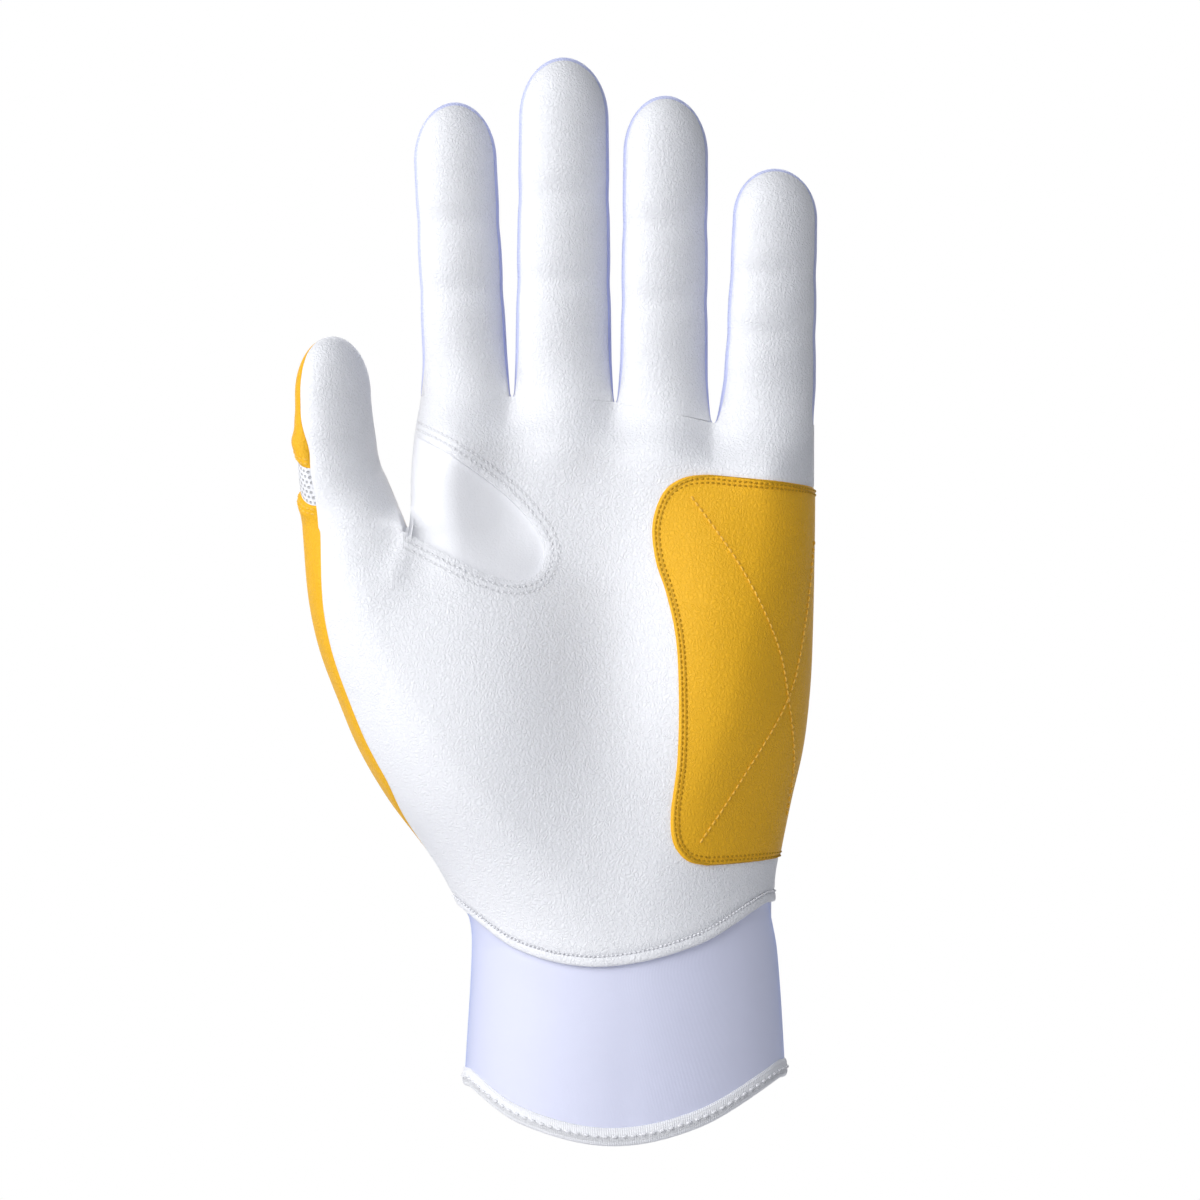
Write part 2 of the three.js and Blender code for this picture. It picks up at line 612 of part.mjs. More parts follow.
// A front or back of a digit from a height to its tip: straight columns that end on the round of the tip
function digitTongue(digit, seam, facing, low, columns, rows, thickness) {
  const straight = digit.capBase - low;
  const arc = digit.cap * seam;
  const at = (s, t) => {
    const p = 2 * s - 1;
    const along = t * (straight + arc * Math.sqrt(1 - p * p));
    const side = seam * p;
    const over = seam * Math.max(along - straight, 0) / arc;
    const from = Math.hypot(side, over);
    const spread = from > 0 ? Math.sin(from) / from : 1;
    const direction = new THREE.Vector3(side * spread, -facing * Math.cos(from), over * spread);
    return digitSkin(digit, direction, low + along);
  };
  return panel({ columns, rows, at, thickness });
}

// The side wall of a fingertip: up one side, round the tip and down the other
function tipWall(digit, seam, low, columns, thickness) {
  const straight = digit.capBase - low;
  const round = Math.PI * (digit.cap + digit.tipHalf) / 2;
  const length = 2 * straight + round;
  const at = (s, t) => {
    const along = s * length;
    const over = Math.PI * clamp01((along - straight) / round);
    const angle = mix(seam, Math.PI - seam, t);
    const direction = new THREE.Vector3(
      -Math.sin(angle) * Math.cos(over), -Math.cos(angle), Math.sin(angle) * Math.sin(over));
    return digitSkin(digit, direction, low + Math.min(along, straight, length - along));
  };
  return panel({ columns, rows: 2, at, thickness });
}

function fingerPieces(digit) {
  const { name, knuckle } = digit;
  const [root, fold] = [(d) => rootLine(digit, d), () => knuckle];
  const meshFoot = () => knuckle - FINGER_MESH;
  const [seam, turn] = [FINGER_SEAM, Math.PI];
  const front = [-seam, seam];
  const back = [turn - seam, turn + seam];
  const thumbSide = [seam - turn, -seam];
  const littleSide = [seam, turn - seam];
  const strip = (angles, low, high, columns, rows, thickness) => (
    digitStrip(digit, angles, low, high, columns, rows, thickness));
  const lower = [
    piece(`${name}_front_lower`, strip(front, root, fold, 6, 2, LEATHER), WHITE_LEATHER),
    piece(`${name}_back_lower`, strip(back, root, meshFoot, 6, 2, LEATHER), WHITE_LEATHER),
    piece(`${name}_knuckle_mesh`, strip(back, meshFoot, fold, 6, 2, STRETCH), WHITE_MESH),
    piece(`${name}_wall_thumb_side`, strip(thumbSide, root, fold, 2, 3, STRETCH), WHITE_STRETCH),
    piece(`${name}_wall_little_side`, strip(littleSide, root, fold, 2, 3, STRETCH), WHITE_STRETCH),
  ];
  const upper = [
    piece(`${name}_front_upper`, digitTongue(digit, seam, 1, knuckle, 6, 7, LEATHER), WHITE_LEATHER),
    piece(`${name}_back_upper`, digitTongue(digit, seam, -1, knuckle, 6, 7, LEATHER), WHITE_LEATHER),
    piece(`${name}_wall_upper`, tipWall(digit, seam, knuckle, 18, STRETCH), WHITE_STRETCH),
  ];
  return [lower, upper];
}

function thumbPieces(digit) {
  const { knuckle } = digit;
  const [root, fold, meshFoot] = [() => digit.rootLow, () => knuckle, () => knuckle - THUMB_MESH];
  const [seam, around] = [THUMB_SEAM, 2 * Math.PI - THUMB_SEAM];
  const backSeam = Math.PI - seam;
  const [front, back] = [[-seam, seam], [seam, around]];
  const lower = [
    piece('thumb_front_lower', digitStrip(digit, front, root, fold, 6, 2, LEATHER), WHITE_LEATHER),
    piece('thumb_back_lower', digitStrip(digit, back, root, meshFoot, 8, 1, LEATHER), YELLOW_LEATHER),
    piece('thumb_knuckle_mesh', digitStrip(digit, back, meshFoot, fold, 8, 1, STRETCH), WHITE_MESH),
  ];
  const upper = [
    piece('thumb_front_upper', digitTongue(digit, seam, 1, knuckle, 6, 7, LEATHER), WHITE_LEATHER),
    piece('thumb_back_upper', digitTongue(digit, backSeam, -1, knuckle, 8, 8, LEATHER), YELLOW_LEATHER),
  ];
  return [lower, upper];
}

function groupOf(name, pieces) {
  const group = new THREE.Group();
  group.name = name;
  group.add(...pieces);
  return group;
}

const handGroup = groupOf('hand', [
  piece('palm_leather', palmLeather(), WHITE_LEATHER),
  piece('thumb_gusset', thumbGusset(), WHITE_STRETCH),
  piece('heel_patch', heelPatch(), YELLOW_LEATHER),
  piece('heel_foam', heelFoam(), PAD_FOAM),
  piece('backhand_panel', backhandPanel(), YELLOW_LEATHER),
  piece('knuckle_band', knuckleBand(), WHITE_MESH),
  piece('cuff_front', cuffFront(), CUFF_SATIN),
  piece('cuff_back_ulnar', cuffBack(BACK_SLIT[0], CUFF_SIDES[1], WING_SIDE, WING_TOP), CUFF_SATIN),
  piece('cuff_back_radial', cuffBack(BACK_SLIT[1], 10 + CUFF_SIDES[0], RADIAL_SIDE, RADIAL_TOP), CUFF_SATIN),
  piece('cuff_binding', cuffBinding(), TAPE),
  piece('palm_hem_binding', palmHemBinding(), WHITE_LEATHER),
  piece('loop_patch', loopPatch(), PILE),
]);
const strapGroup = groupOf('closure', [
  piece('strap', strapTab(), CUFF_SATIN),
  piece('hook_patch', hookPatch(), PILE),
]);

const glove = new THREE.Group();
glove.name = 'batting_glove';
glove.add(handGroup, strapGroup);
for (const digit of DIGITS) {
  const [lower, upper] = digit.name === 'thumb' ? thumbPieces(digit) : fingerPieces(digit);
  const base = groupOf(`${digit.name}_base`, lower);
  base.add(groupOf(`${digit.name}_end`, upper));
  glove.add(base);
}

export default glove;
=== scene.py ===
"""Looks of a batting glove for the left hand: leather, knit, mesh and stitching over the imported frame.

Shapes are worked out in millimetres, with fingers to +Z, the palm to -Y and the thumb at -X.
"""

import json

import bpy
import numpy as np
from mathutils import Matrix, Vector


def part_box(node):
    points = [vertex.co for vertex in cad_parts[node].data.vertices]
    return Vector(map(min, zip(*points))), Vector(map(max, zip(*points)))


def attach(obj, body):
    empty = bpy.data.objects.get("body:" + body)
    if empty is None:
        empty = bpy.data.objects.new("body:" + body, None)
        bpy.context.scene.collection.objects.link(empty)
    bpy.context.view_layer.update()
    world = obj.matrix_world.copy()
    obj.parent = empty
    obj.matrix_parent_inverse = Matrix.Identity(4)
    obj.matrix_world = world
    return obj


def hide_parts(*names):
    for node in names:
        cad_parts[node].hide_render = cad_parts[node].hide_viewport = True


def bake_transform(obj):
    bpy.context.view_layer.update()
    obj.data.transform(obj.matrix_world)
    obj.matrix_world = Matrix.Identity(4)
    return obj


bl_info = {
    "name": "Batting Glove",
    "version": (1, 0, 0),
    "blender": (4, 5, 0),
    "location": "View3D > Sidebar > Glove",
    "description": "Dresses the glove's frame in leather, knit, mesh and stitching",
    "category": "Add Mesh",
}

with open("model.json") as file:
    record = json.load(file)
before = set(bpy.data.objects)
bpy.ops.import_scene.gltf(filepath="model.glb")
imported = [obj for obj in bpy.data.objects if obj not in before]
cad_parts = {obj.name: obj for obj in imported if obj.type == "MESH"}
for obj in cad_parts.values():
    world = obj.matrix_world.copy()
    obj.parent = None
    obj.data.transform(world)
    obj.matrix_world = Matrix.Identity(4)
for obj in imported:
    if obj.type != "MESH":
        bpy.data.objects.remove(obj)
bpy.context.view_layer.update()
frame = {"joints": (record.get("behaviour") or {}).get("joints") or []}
JOINTS = {joint["name"]: np.array(joint["pos_m"]) * 1000 for joint in frame["joints"]}
MM = 0.001

# Heights up the hand
CROTCH = JOINTS["thumb_root"][2]
INDEX_ROOT = 168.5
ROOTS = INDEX_ROOT - np.array([0, 0.3, 1.5, 6.2, 6.5])
KNUCKLE_SEAM = 152

# Depths of the webs, the lengths over which the digits grow out of the hand, and the thumb's step forward
FINGER_WEB = 5.8
THUMB_WEB = 10.4
WEB_FADE = 8
WEB_POWER = 4
WEB_START = (30, 16)
WEB_THIN = 12
THUMB_FORWARD = 8
FORWARD_FADE = 40
FORWARD_NEAR = 24
FORWARD_LOW = (0.5, 4.6)
FORWARD_HIGH = (1, 2.2)
THUMB_BLEND = 15
FINGER_BLEND = 11
FINGER_OPENING = 10
OPENING_POWERS = (1, 0.45, 0.22, 0.45, 0.45, 1)
THUMB_OPENING = 14
ROOT_TUCK = 2
THUMB_SLANT = 0.45
FINGER_SLANT = 0.22
SLANT_RISE = 14
THUMB_CURVE = 0.7

# Swellings of the palm as x, height, half width, half height and rise
PALM_SWELLS = [(-31, 98, 28, 33, 6.5), (20, 112, 17, 36, 6.5), (-4, 110, 14, 28, -3),
               (-46, 133, 8, 10, -2.6), (32, 74, 16, 18, -3.5)]
FINGER_PAD = {"below": 11, "wide": 8, "high": 7, "rise": 2.2}
CREASE = {"high": 3.2, "sink": 0.75, "pinch": 0.2, "second": 0.52, "pad": 0.5}

# Seams: angles round a digit from the middle of its front, and shares of a digit's column on the hand. Then
# the gusset, the lengths of the mesh bands, the thumb's one as shift and slant of its edges, and the knit
FINGER_SEAM = np.radians(70)
THUMB_SEAM = np.radians(68)
THUMB_ROLL = np.radians(24)
SEAM_SHARE = 1 / 9
SIDE_LEVEL = np.cos(FINGER_SEAM)
THUMB_SEAM_RISE = np.radians(17)
THUMB_TIP_SEAM = np.radians(100)
THUMB_BACK = np.pi - THUMB_SEAM
THUMB_SIDE = (0.27, 62, 84)
LITTLE_SIDE = 5.25
GUSSET_TUCK = 4
GUSSET_FOOT = 122
GUSSET_SPAN = (0.72, 2.8)
GUSSET_UNDER = 6
FINGER_MESH = 11
THUMB_MESH = 9
SLANT_SPAN = (-0.4, -1)
MESH_LOW = (1.4, 3.8)
MESH_TOP = (-0.4, 2.7)
KNIT = 1.0
WALL_SINK = 0.15

# Sewing: borders of a sheet, width of a rolled border, distances of stitch rows from their edges, lengths of
# a stitch with its gap, and the lips beside the thumb's mesh as distance, half width and rise
ALL_SIDES = ("left", "right", "top", "bottom")
ROLL = 1.1
CUTOUT_ROWS = (1.6, 3.1)
CUTOUT_CLEAR = 1.5
BACK_ROWS = (1.4, 2.6)
PATCH_ROWS = (0.95, 1.85)
PATCH_SIDE_ROW = 1.2
LIP_ROWS = (0.9, 1.9)
ROW_MARGIN = 0.4
PITCH = {"cutout": 1.4, "hem": 1.0, "border": 1.2, "quilt": 1.6, "backhand": 1.8, "lip": 1.2, "binding": 2.1,
         "strap": 2.1}
LOWER_LIP = (2.6, 1.8, 0.6)
UPPER_LIP = (4.0, 2.6, 0.9)

# Cut-out at the thumb crotch, heel patch and its crossed quilting, as x and height, and the foam
NOTCH = [(-60, 160.4), (-49.5, 160.4), (-39.4, 155.3), (-28.1, 147.4), (-21.4, 140.6), (-17.8, 134.3),
         (-19.1, 129), (-23.6, 127.1), (-30.4, 128.5), (-39.4, 132.8), (-47.9, 137.3), (-60, 141.3)]
PATCH_EDGE = [(18, 63.6), (13.6, 64.8), (10.6, 68.8), (10.1, 75.4), (11.5, 86.6), (11.9, 100.1),
              (11.3, 113.6), (9.2, 123.8), (6.75, 131.6), (6.1, 139.5), (8.4, 146.4), (12.4, 149.6),
              (17.5, 150.5), (24, 150)]
PATCH_SIDE = (64.4, 147.6)
PATCH_TURN = 5.14
PATCH_LOW = 0.4
PATCH_FADE = (12, 38)
QUILT_DOWN = [(14.6, 145.8), (25.9, 129.4), (33.4, 113.6), (36.2, 100.8), (37.6, 86.6), (36, 74.2)]
QUILT_UP = [(16.2, 68.6), (25.9, 83.2), (36.2, 100.8), (40.2, 118.1), (42.2, 136.1)]
FOAM_INSET = 6
FOAM_TURN = 4.85
FOAM_THICK = 2.5
FOAM_DEPTH = 2.1
FOAM_TONE = (0.62, 0.58, 0.48)
PATCH_BEYOND = 60

# Padded ribs of the backhand
RIBS = {"low": 88, "high": 147, "middle": -2, "narrow": 0.74, "rise": 1.3, "margin": 7, "row": 0.8}

# Wrist: hems, cuff, closing strap
HEM_BAND = 2
HEM = {"end": 5.12, "sink": 0.55, "half_out": 0.75, "over": 0.15, "row": 0.25}
CUFF_HALF = 36.5
CUFF_RISE = 2
CUFF_TUCK = 9
CUFF_SIDES = (-0.1, 5.1)
CUFF_UNDERLAP = 0.22
BACK_SLIT = (7.3, 7.5)
CUFF_FLARE = (46, 58)
CUFF_BORDER = 0.14
CUFF_BACK = 1.1
BINDING_OVER = 0.5
WING = {"top": 73, "side": 5.32, "blend": 8}
RADIAL = {"top": 62, "side": 9.7}
SLIT_DROP = 0.8
CUFF_LIFTS = (-1.3, 1.3)
STRAP_SPAN = (5.22, 8.7)
STRAP_FOLD = 5.42
STRAP_HEIGHT = (20, 45)
PILE_SPAN = (7.75, 8.6)
PILE_MARGIN = 3
STRAP_RAMP = 0.2
LAYER_GAP = 0.7
LOOP_PILE = 0.9
HOOK_PILE = 0.8
STRAP = 1.6
STRAP_SEWN = 8
STRAP_SINK = 0.6 * LAYER_GAP

# Stage: the camera's place, reach, sensor and lens, the lights' places with their widths in metres, the floor
CAMERA = {"distance": 1500, "height": 122.6, "side": -5.6, "reach": 20000, "sensor": 36, "lens": 200}
LIGHTS = {"key": ((-1500, -700, 800), 1.2), "front": ((-850, -1550, 1050), 1.4),
          "back": ((150, 1900, 900), 1.2)}
AIM = (0, 0, 120)
FLOOR_HALF = 4000
FLOOR_POINTS = 9


def clamp(t):
    """Value held between 0 and 1."""
    return np.clip(t, 0, 1)


def mix(a, b, t):
    """Straight mix of a and b by a share t."""
    return a + (b - a) * t


def ease(low, high, t):
    """Smooth step from 0 at low to 1 at high."""
    s = clamp((t - low) / (high - low))
    return s * s * (3 - 2 * s)


def swing(f):
    """Half a turn of a cosine, from 0 to 1."""
    return (1 - np.cos(np.pi * f)) / 2


def round_edge(t):
    """Quarter circle: upright at 0, level from 1 on."""
    return np.sqrt(1 - (1 - clamp(t)) ** 2)


def unit(vectors):
    """Vectors scaled to length 1."""
    return vectors / np.maximum(np.linalg.norm(vectors, axis=-1, keepdims=True), 1e-9)


def stations(*pairs):
    """Smooth curve through (position, value) stations, level beyond its ends: cubic pieces whose slope at a
    station is that of the line between its two neighbours."""
    at, value = np.array(pairs, float).T
    places = np.arange(len(at))
    before, after = np.maximum(places - 1, 0), np.minimum(places + 1, len(at) - 1)
    slope = (value[after] - value[before]) / (at[after] - at[before])

    def curve(place):
        place = np.clip(place, at[0], at[-1])
        i = np.clip(np.searchsorted(at, place, side="right") - 1, 0, len(at) - 2)
        width = at[i + 1] - at[i]
        rise = value[i + 1] - value[i]
        t = (place - at[i]) / width
        start = slope[i] * width - rise
        end = rise - slope[i + 1] * width
        return value[i] + rise * t + t * (1 - t) * (start * (1 - t) + end * t)

    return curve


def spline(points, t):
    """Curve through points: cubic pieces whose slope at a point is half the step between its neighbours."""
    p = np.array(points, float)
    place = clamp(np.asarray(t)) * (len(p) - 1)
    i = np.minimum(place.astype(int), len(p) - 2)
    w = (place - i)[..., None]
    a, b, c, d = (p[np.clip(i + n, 0, len(p) - 1)] for n in (-1, 0, 1, 2))
    start, end = (c - a) / 2, (d - b) / 2
    rise = c - b
    return b + rise * w + w * (1 - w) * ((start - rise) * (1 - w) + (rise - end) * w)


def arc_length(path):
    """Length of a path up to each of its points."""
    steps = np.linalg.norm(np.diff(path, axis=0), axis=1)
    return np.concatenate([[0], np.cumsum(steps)])


def even_shares(points, count):
    """Parameters at which a spline's points lie evenly along its length."""
    t = np.linspace(0, 1, 40 * len(points))
    length = arc_length(spline(points, t))
    return np.interp(np.linspace(0, length[-1], count), length, t)


left_edge = stations(
    (0, -38), (17, -37.3), (44, -35.8), (51, -36.4), (59.6, -40.3), (66.4, -44.5), (77.6, -52.9),
    (89, -59.6), (100, -64.2), (111.4, -68.4), (122.6, -70.8), (CROTCH, -72.2))
right_edge = stations(
    (0, 38), (17, 37.4), (44, 35.6), (54, 33.9), (60, 33.8), (66.4, 34.9), (77.6, 37.2), (89, 39.8),
    (100, 41.2), (111, 41.9), (CROTCH, 42.5), (INDEX_ROOT, 42.6))
web_line = stations(
    (0, -16), (45, -22), (80, -40), (100, -50), (118, -53), (CROTCH, -48.4), (150, -48.2), (160, -47.4),
    (INDEX_ROOT, -46))
palm_depth = stations(
    (0, 24), (45, 23), (75, 20), (110, 15.5), (CROTCH, 13), (158, 12), (INDEX_ROOT, 10))
back_depth = stations(
    (0, 22.5), (45, 20.5), (75, 16), (110, 13.5), (CROTCH, 12.5), (158, 12), (INDEX_ROOT, 10.5))
edge_radius = stations(
    (0, 36), (45, 34), (75, 26), (110, 17), (CROTCH, 13), (158, 11), (INDEX_ROOT, 10))
thumb_forward = stations((45, 0), (90, 5), (125, THUMB_FORWARD), (CROTCH, THUMB_FORWARD))
palm_hem = stations((-37, 55), (-23.6, 45), (-6, 41.4), (16.9, 46.1), (34, 55))
cuff_edge = stations((-CUFF_HALF, 13.6), (-23.6, 6), (-3.4, 1.5), (16.9, 5.3), (CUFF_HALF, 15.6))


class Digit:
    """One finger or the thumb: half widths and half depths at root and tip, with heights from the frame."""

    def __init__(self, name, column, shift, root_half, tip_x, tip_half, depth, tip_depth, cap):
        self.name, self.column = name, column
        self.root_x = JOINTS[name + "_root"][0] + shift
        self.root_half, self.tip_x, self.tip_half = root_half, tip_x, tip_half
        self.depth, self.tip_depth, self.cap = depth, tip_depth, cap
        self.thumb = column == 0
        self.roots = (CROTCH, CROTCH) if self.thumb else tuple(ROOTS[column - 1:column + 1])
        self.knuckle = JOINTS[name + "_knuckle"][2]
        self.mesh_foot = self.knuckle - (THUMB_MESH if self.thumb else FINGER_MESH)
        top_node = "thumb_back_upper" if self.thumb else name + "_wall_upper"
        self.cap_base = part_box(top_node)[1][2] / MM - cap
        self.opening = THUMB_OPENING if self.thumb else FINGER_OPENING
        self.roll = THUMB_ROLL if self.thumb else 0.0
        self.slant = THUMB_SLANT if self.thumb else FINGER_SLANT
        second = mix(self.knuckle, self.cap_base, CREASE["second"])
        self.creases = (self.knuckle,) if self.thumb else (self.knuckle, second)


THUMB = Digit("thumb", 0, 0, 11.2, -65.35, 8.35, 10.5, 8.4, 13)
FINGERS = [
    Digit("index", 1, 0.4, 9.7, -38.1, 9.4, 9.2, 8.6, 13.5),
    Digit("middle", 2, 0.3, 11.1, -13.7, 10.2, 9.7, 9.1, 14),
    Digit("ring", 3, 0, 10.1, 9.2, 9.7, 9.2, 8.6, 13.5),
    Digit("little", 4, 0.3, 10.8, 33.8, 9.7, 8.7, 8.1, 11.5),
]
DIGIT_DEPTHS = np.array([digit.depth for digit in [THUMB] + FINGERS])


def valley_shares():
    """Where the fingers part, as shares of the width between the web line and the little finger's side."""
    web, right = web_line(INDEX_ROOT), right_edge(INDEX_ROOT)
    pairs = zip(FINGERS[:-1], FINGERS[1:])
    middles = [(a.root_x + a.root_half + b.root_x - b.root_half) / 2 for a, b in pairs]
    return [(x - web) / (right - web) for x in middles]


VALLEYS = valley_shares()


def column_edges(z):
    """x of the six edges of the five digit columns at a height."""
    web, right = web_line(z), right_edge(z)
    return np.stack([left_edge(z), web] + [mix(web, right, v) for v in VALLEYS] + [right])


def root_height(u):
    """Height at which the fingers leave the palm, at a place across it."""
    i = np.clip(np.floor(u), 1, 4).astype(int)
    return mix(ROOTS[i - 1], ROOTS[i], swing(clamp(u - i)))


def forward_shift(u, z):
    """How far the thumb side stands forward of the hand's middle. The step fades across the index column at
    the crotch, and more slowly, over most of the palm, lower down."""
    u = np.floor(u) + swing(u - np.floor(u))
    above = THUMB_FORWARD * (1 - ease(CROTCH, CROTCH + FORWARD_FADE, z))
    rise = np.where(z > CROTCH, above, thumb_forward(z))
    near = ease(CROTCH - FORWARD_NEAR, CROTCH, z)
    first, last = (mix(low, high, near) for low, high in zip(FORWARD_LOW, FORWARD_HIGH))
    return -rise * (1 - ease(first, last, u))


def swell(x, z):
    """Round swellings of the palm: the heels of thumb and hand, the hollow between, a pad under each
    finger."""
    pads = [(d.root_x, ROOTS[d.column - 1] - FINGER_PAD["below"], FINGER_PAD["wide"], FINGER_PAD["high"],
             FINGER_PAD["rise"]) for d in FINGERS]
    bumps = [rise * np.exp(-((x - px) / wide) ** 2 - ((z - pz) / high) ** 2)
             for px, pz, wide, high, rise in PALM_SWELLS + pads]
    return sum(bumps)


def finger_web(u, z):
    """Least half depth between the fingers; above their roots it fades out."""
    between = ease(1.05, 1.5, u) * (1 - ease(4.5, 4.95, u))
    root = root_height(u)
    return FINGER_WEB * between * (1 - ease(root, root + WEB_FADE, z))


def thumb_web(u, z):
    """Least share of the palm's depth beside the thumb: all of it just below the crotch, none well above or
    further down, where the section is whole."""
    begun = ease(CROTCH - WEB_START[0], CROTCH - WEB_START[1], z)
    beside = (1 - ease(0.1, 1.0, np.abs(u - 1))) * begun
    below = mix(1, THUMB_WEB / palm_depth(CROTCH), ease(CROTCH - WEB_THIN, CROTCH, z))
    return beside * below * (1 - ease(CROTCH, CROTCH + WEB_FADE, z))


def union(a, b):
    """Share that is whole where either share is whole, with a soft turn from one to the other."""
    a, b = a ** WEB_POWER, b ** WEB_POWER
    return (a + b - a * b) ** (1 / WEB_POWER)


def skin(k, z):
    """The hand's outside at place k and height z. k runs 0 to 5 over the front from the thumb side and 5 to
    10 over the back; above the crotch the thumb side is at 1. The section is a rounded slab that turns into
    one ellipse for each digit on the way up."""
    k, z = np.broadcast_arrays(np.asarray(k, float), np.asarray(z, float))
    start = np.where(z > CROTCH, 1.0, 0.0)
    turn = np.where(k > 10, k - 10, k)
    back = (turn > 5) | (turn < start)
    u = np.where(turn > 5, 10 - turn, np.where(turn < start, 2 * start - turn, turn))
    column = np.clip(np.floor(u), 0, 4).astype(int)
    f = u - column
    edges = column_edges(z)
    low = np.take_along_axis(edges, column[None], 0)[0]
    high = np.take_along_axis(edges, column[None] + 1, 0)[0]
    x = mix(low, high, swing(f))
    parted = np.where(z > CROTCH, 1, ease(CROTCH - THUMB_BLEND, CROTCH, z))
    root = root_height(u)
    fingered = np.where(column > 0, ease(root - FINGER_BLEND, root, z), 0)
    radius = edge_radius(z)
    little_side = round_edge((edges[5] - x) / radius)
    whole = round_edge((x - edges[0]) / radius) * little_side
    digit = union(np.sin(np.pi * f), finger_web(u, z) / DIGIT_DEPTHS[column])
    split = np.where(column == 0, digit, round_edge((x - edges[1]) / radius) * little_side)
    fullness = mix(mix(whole, split, parted), digit, fingered)
    own = np.where(column == 0, parted * (1 - ease(0.5, 1, u)), fingered)
    depth = mix(np.where(back, back_depth(z), palm_depth(z)), DIGIT_DEPTHS[column], own)
    full = union(fullness, thumb_web(u, z))
    reach = depth * full
    middle = forward_shift(u, z)
    y = np.where(back, middle + reach, middle - reach - swell(x, z) * full)
    return np.stack([x, y, z], -1)


def hand(k, z):
    """Points and outward normals of the hand's outside, from small steps across and up."""
    k, z = np.broadcast_arrays(np.asarray(k, float), np.asarray(z, float))
    above = z > CROTCH
    low = np.where(above, np.maximum(z - 1, CROTCH + 1e-3), z - 1)
    high = np.where(above, z + 1, np.minimum(z + 1, CROTCH))
    across = skin(k + 0.06, z) - skin(k - 0.06, z)
    normal = unit(np.cross(across, skin(k, high) - skin(k, low)))
    return skin(k, z), normal


def place_of(x, z):
    """Place k of a point of the palm at x."""
    edges = column_edges(z)
    column = np.sum([edges[i] <= x for i in (1, 2, 3, 4)], axis=0)
    low = np.take_along_axis(edges, column[None], 0)[0]
    high = np.take_along_axis(edges, column[None] + 1, 0)[0]
    return column + np.arccos(1 - 2 * clamp((x - low) / (high - low))) / np.pi


def on_palm(points):
    """Points and normals of the palm under flat (x, height) points."""
    x, z = np.asarray(points).T
    return hand(place_of(x, z), z)


def digit_edges(digit, z):
    """Both sides of a digit: the hand's own edges at the root, which part into the digit's straight taper."""
    low, high = digit.roots
    root = min(low, high)
    t = clamp((z - root) / (digit.cap_base - root))
    t = t + THUMB_CURVE * t * (1 - t) if digit.thumb else t
    centre = mix(digit.root_x, digit.tip_x, t)
    half = mix(digit.root_half, digit.tip_half, t)
    half = half - CREASE["pinch"] * sum(np.exp(-((z - c) / CREASE["high"]) ** 2) for c in digit.creases)
    hand_left = column_edges(np.minimum(z, low))[digit.column]
    hand_right = column_edges(np.minimum(z, high))[digit.column + 1]
    left = mix(hand_left, centre - half, opened(digit, 0, z))
    right = mix(hand_right, centre + half, opened(digit, 1, z))
    return left, right, mix(digit.depth, digit.tip_depth, t)


def opened(digit, side, z):
    """How far a digit's side has left the hand's own edge: at once beside a finger, slowly on a free side."""
    t = clamp((z - digit.roots[side]) / digit.opening)
    free = (digit.column, side) in ((0, 0), (1, 0), (4, 1))
    return ease(0, 1, t) if free else t ** OPENING_POWERS[digit.column + side]


def front_relief(digit, z):
    """Rise of a digit's front: pads between the creases, which are sunk."""
    sunk = sum(np.exp(-((z - c) / CREASE["high"]) ** 2) for c in digit.creases)
    settled = ease(min(digit.roots), min(digit.roots) + 2 * digit.opening, z)
    return settled * (CREASE["pad"] - CREASE["sink"] * sunk - CREASE["pad"] * sunk)


def digit_skin(digit, direction, z):
    """Points and normals of a digit's outside: a direction from its middle line, times the half width and
    half depth of its ring at height z; past the start of the tip the ring stays and the tip's height joins
    in."""
    cos, sin = np.cos(digit.roll), np.sin(digit.roll)
    dx = direction[..., 0] * cos - direction[..., 1] * sin
    dy = direction[..., 0] * sin + direction[..., 1] * cos
    dz = direction[..., 2]
    ring = np.minimum(z, digit.cap_base)
    left, right, depth = digit_edges(digit, ring)
    half = (right - left) / 2
    x = (left + right) / 2 + half * dx
    flat = np.maximum(np.hypot(dx, dy), 1e-9)
    u = digit.column + np.arccos(np.clip(-dx / flat, -1, 1)) / np.pi
    middle = -THUMB_FORWARD if digit.thumb else forward_shift(u, ring)
    bulge = swell(x, ring) + front_relief(digit, ring)
    level = np.abs(dy)
    beside = np.minimum(thumb_web(u, ring) * palm_depth(CROTCH) / depth, 1)
    full = union(np.maximum(level, SIDE_LEVEL), np.maximum(finger_web(u, ring) / depth, beside))
    full = full * np.minimum(level / SIDE_LEVEL, 1)
    slant = digit.slant * ease(min(digit.roots), max(digit.roots) + SLANT_RISE, ring)
    y = middle + np.sign(dy) * depth * full - np.where(dy < 0, full, 0) * bulge + slant * half * dx
    normal = unit(np.stack([dx / half - slant * dy / depth, dy / depth, dz / digit.cap], -1))
    return np.stack([x, y, ring + digit.cap * dz], -1), normal


def around(angle):
    """Level directions at angles from the middle of the front."""
    return np.stack([np.sin(angle), -np.cos(angle), np.zeros_like(angle)], -1)


def strip(digit, angles, low, high, columns, rows, flare=0.0):
    """Part of a digit between two angles and two heights; a height may depend on the angle, and the angles
    may widen by a share towards the lower end."""
    angle, t = np.meshgrid(np.linspace(*angles, columns), np.linspace(0, 1, rows))
    bottom = low(angle) if callable(low) else low
    top = high(angle) if callable(high) else high
    return digit_skin(digit, around(angle * (1 + flare * (1 - t) ** 2)), mix(bottom, top, t))


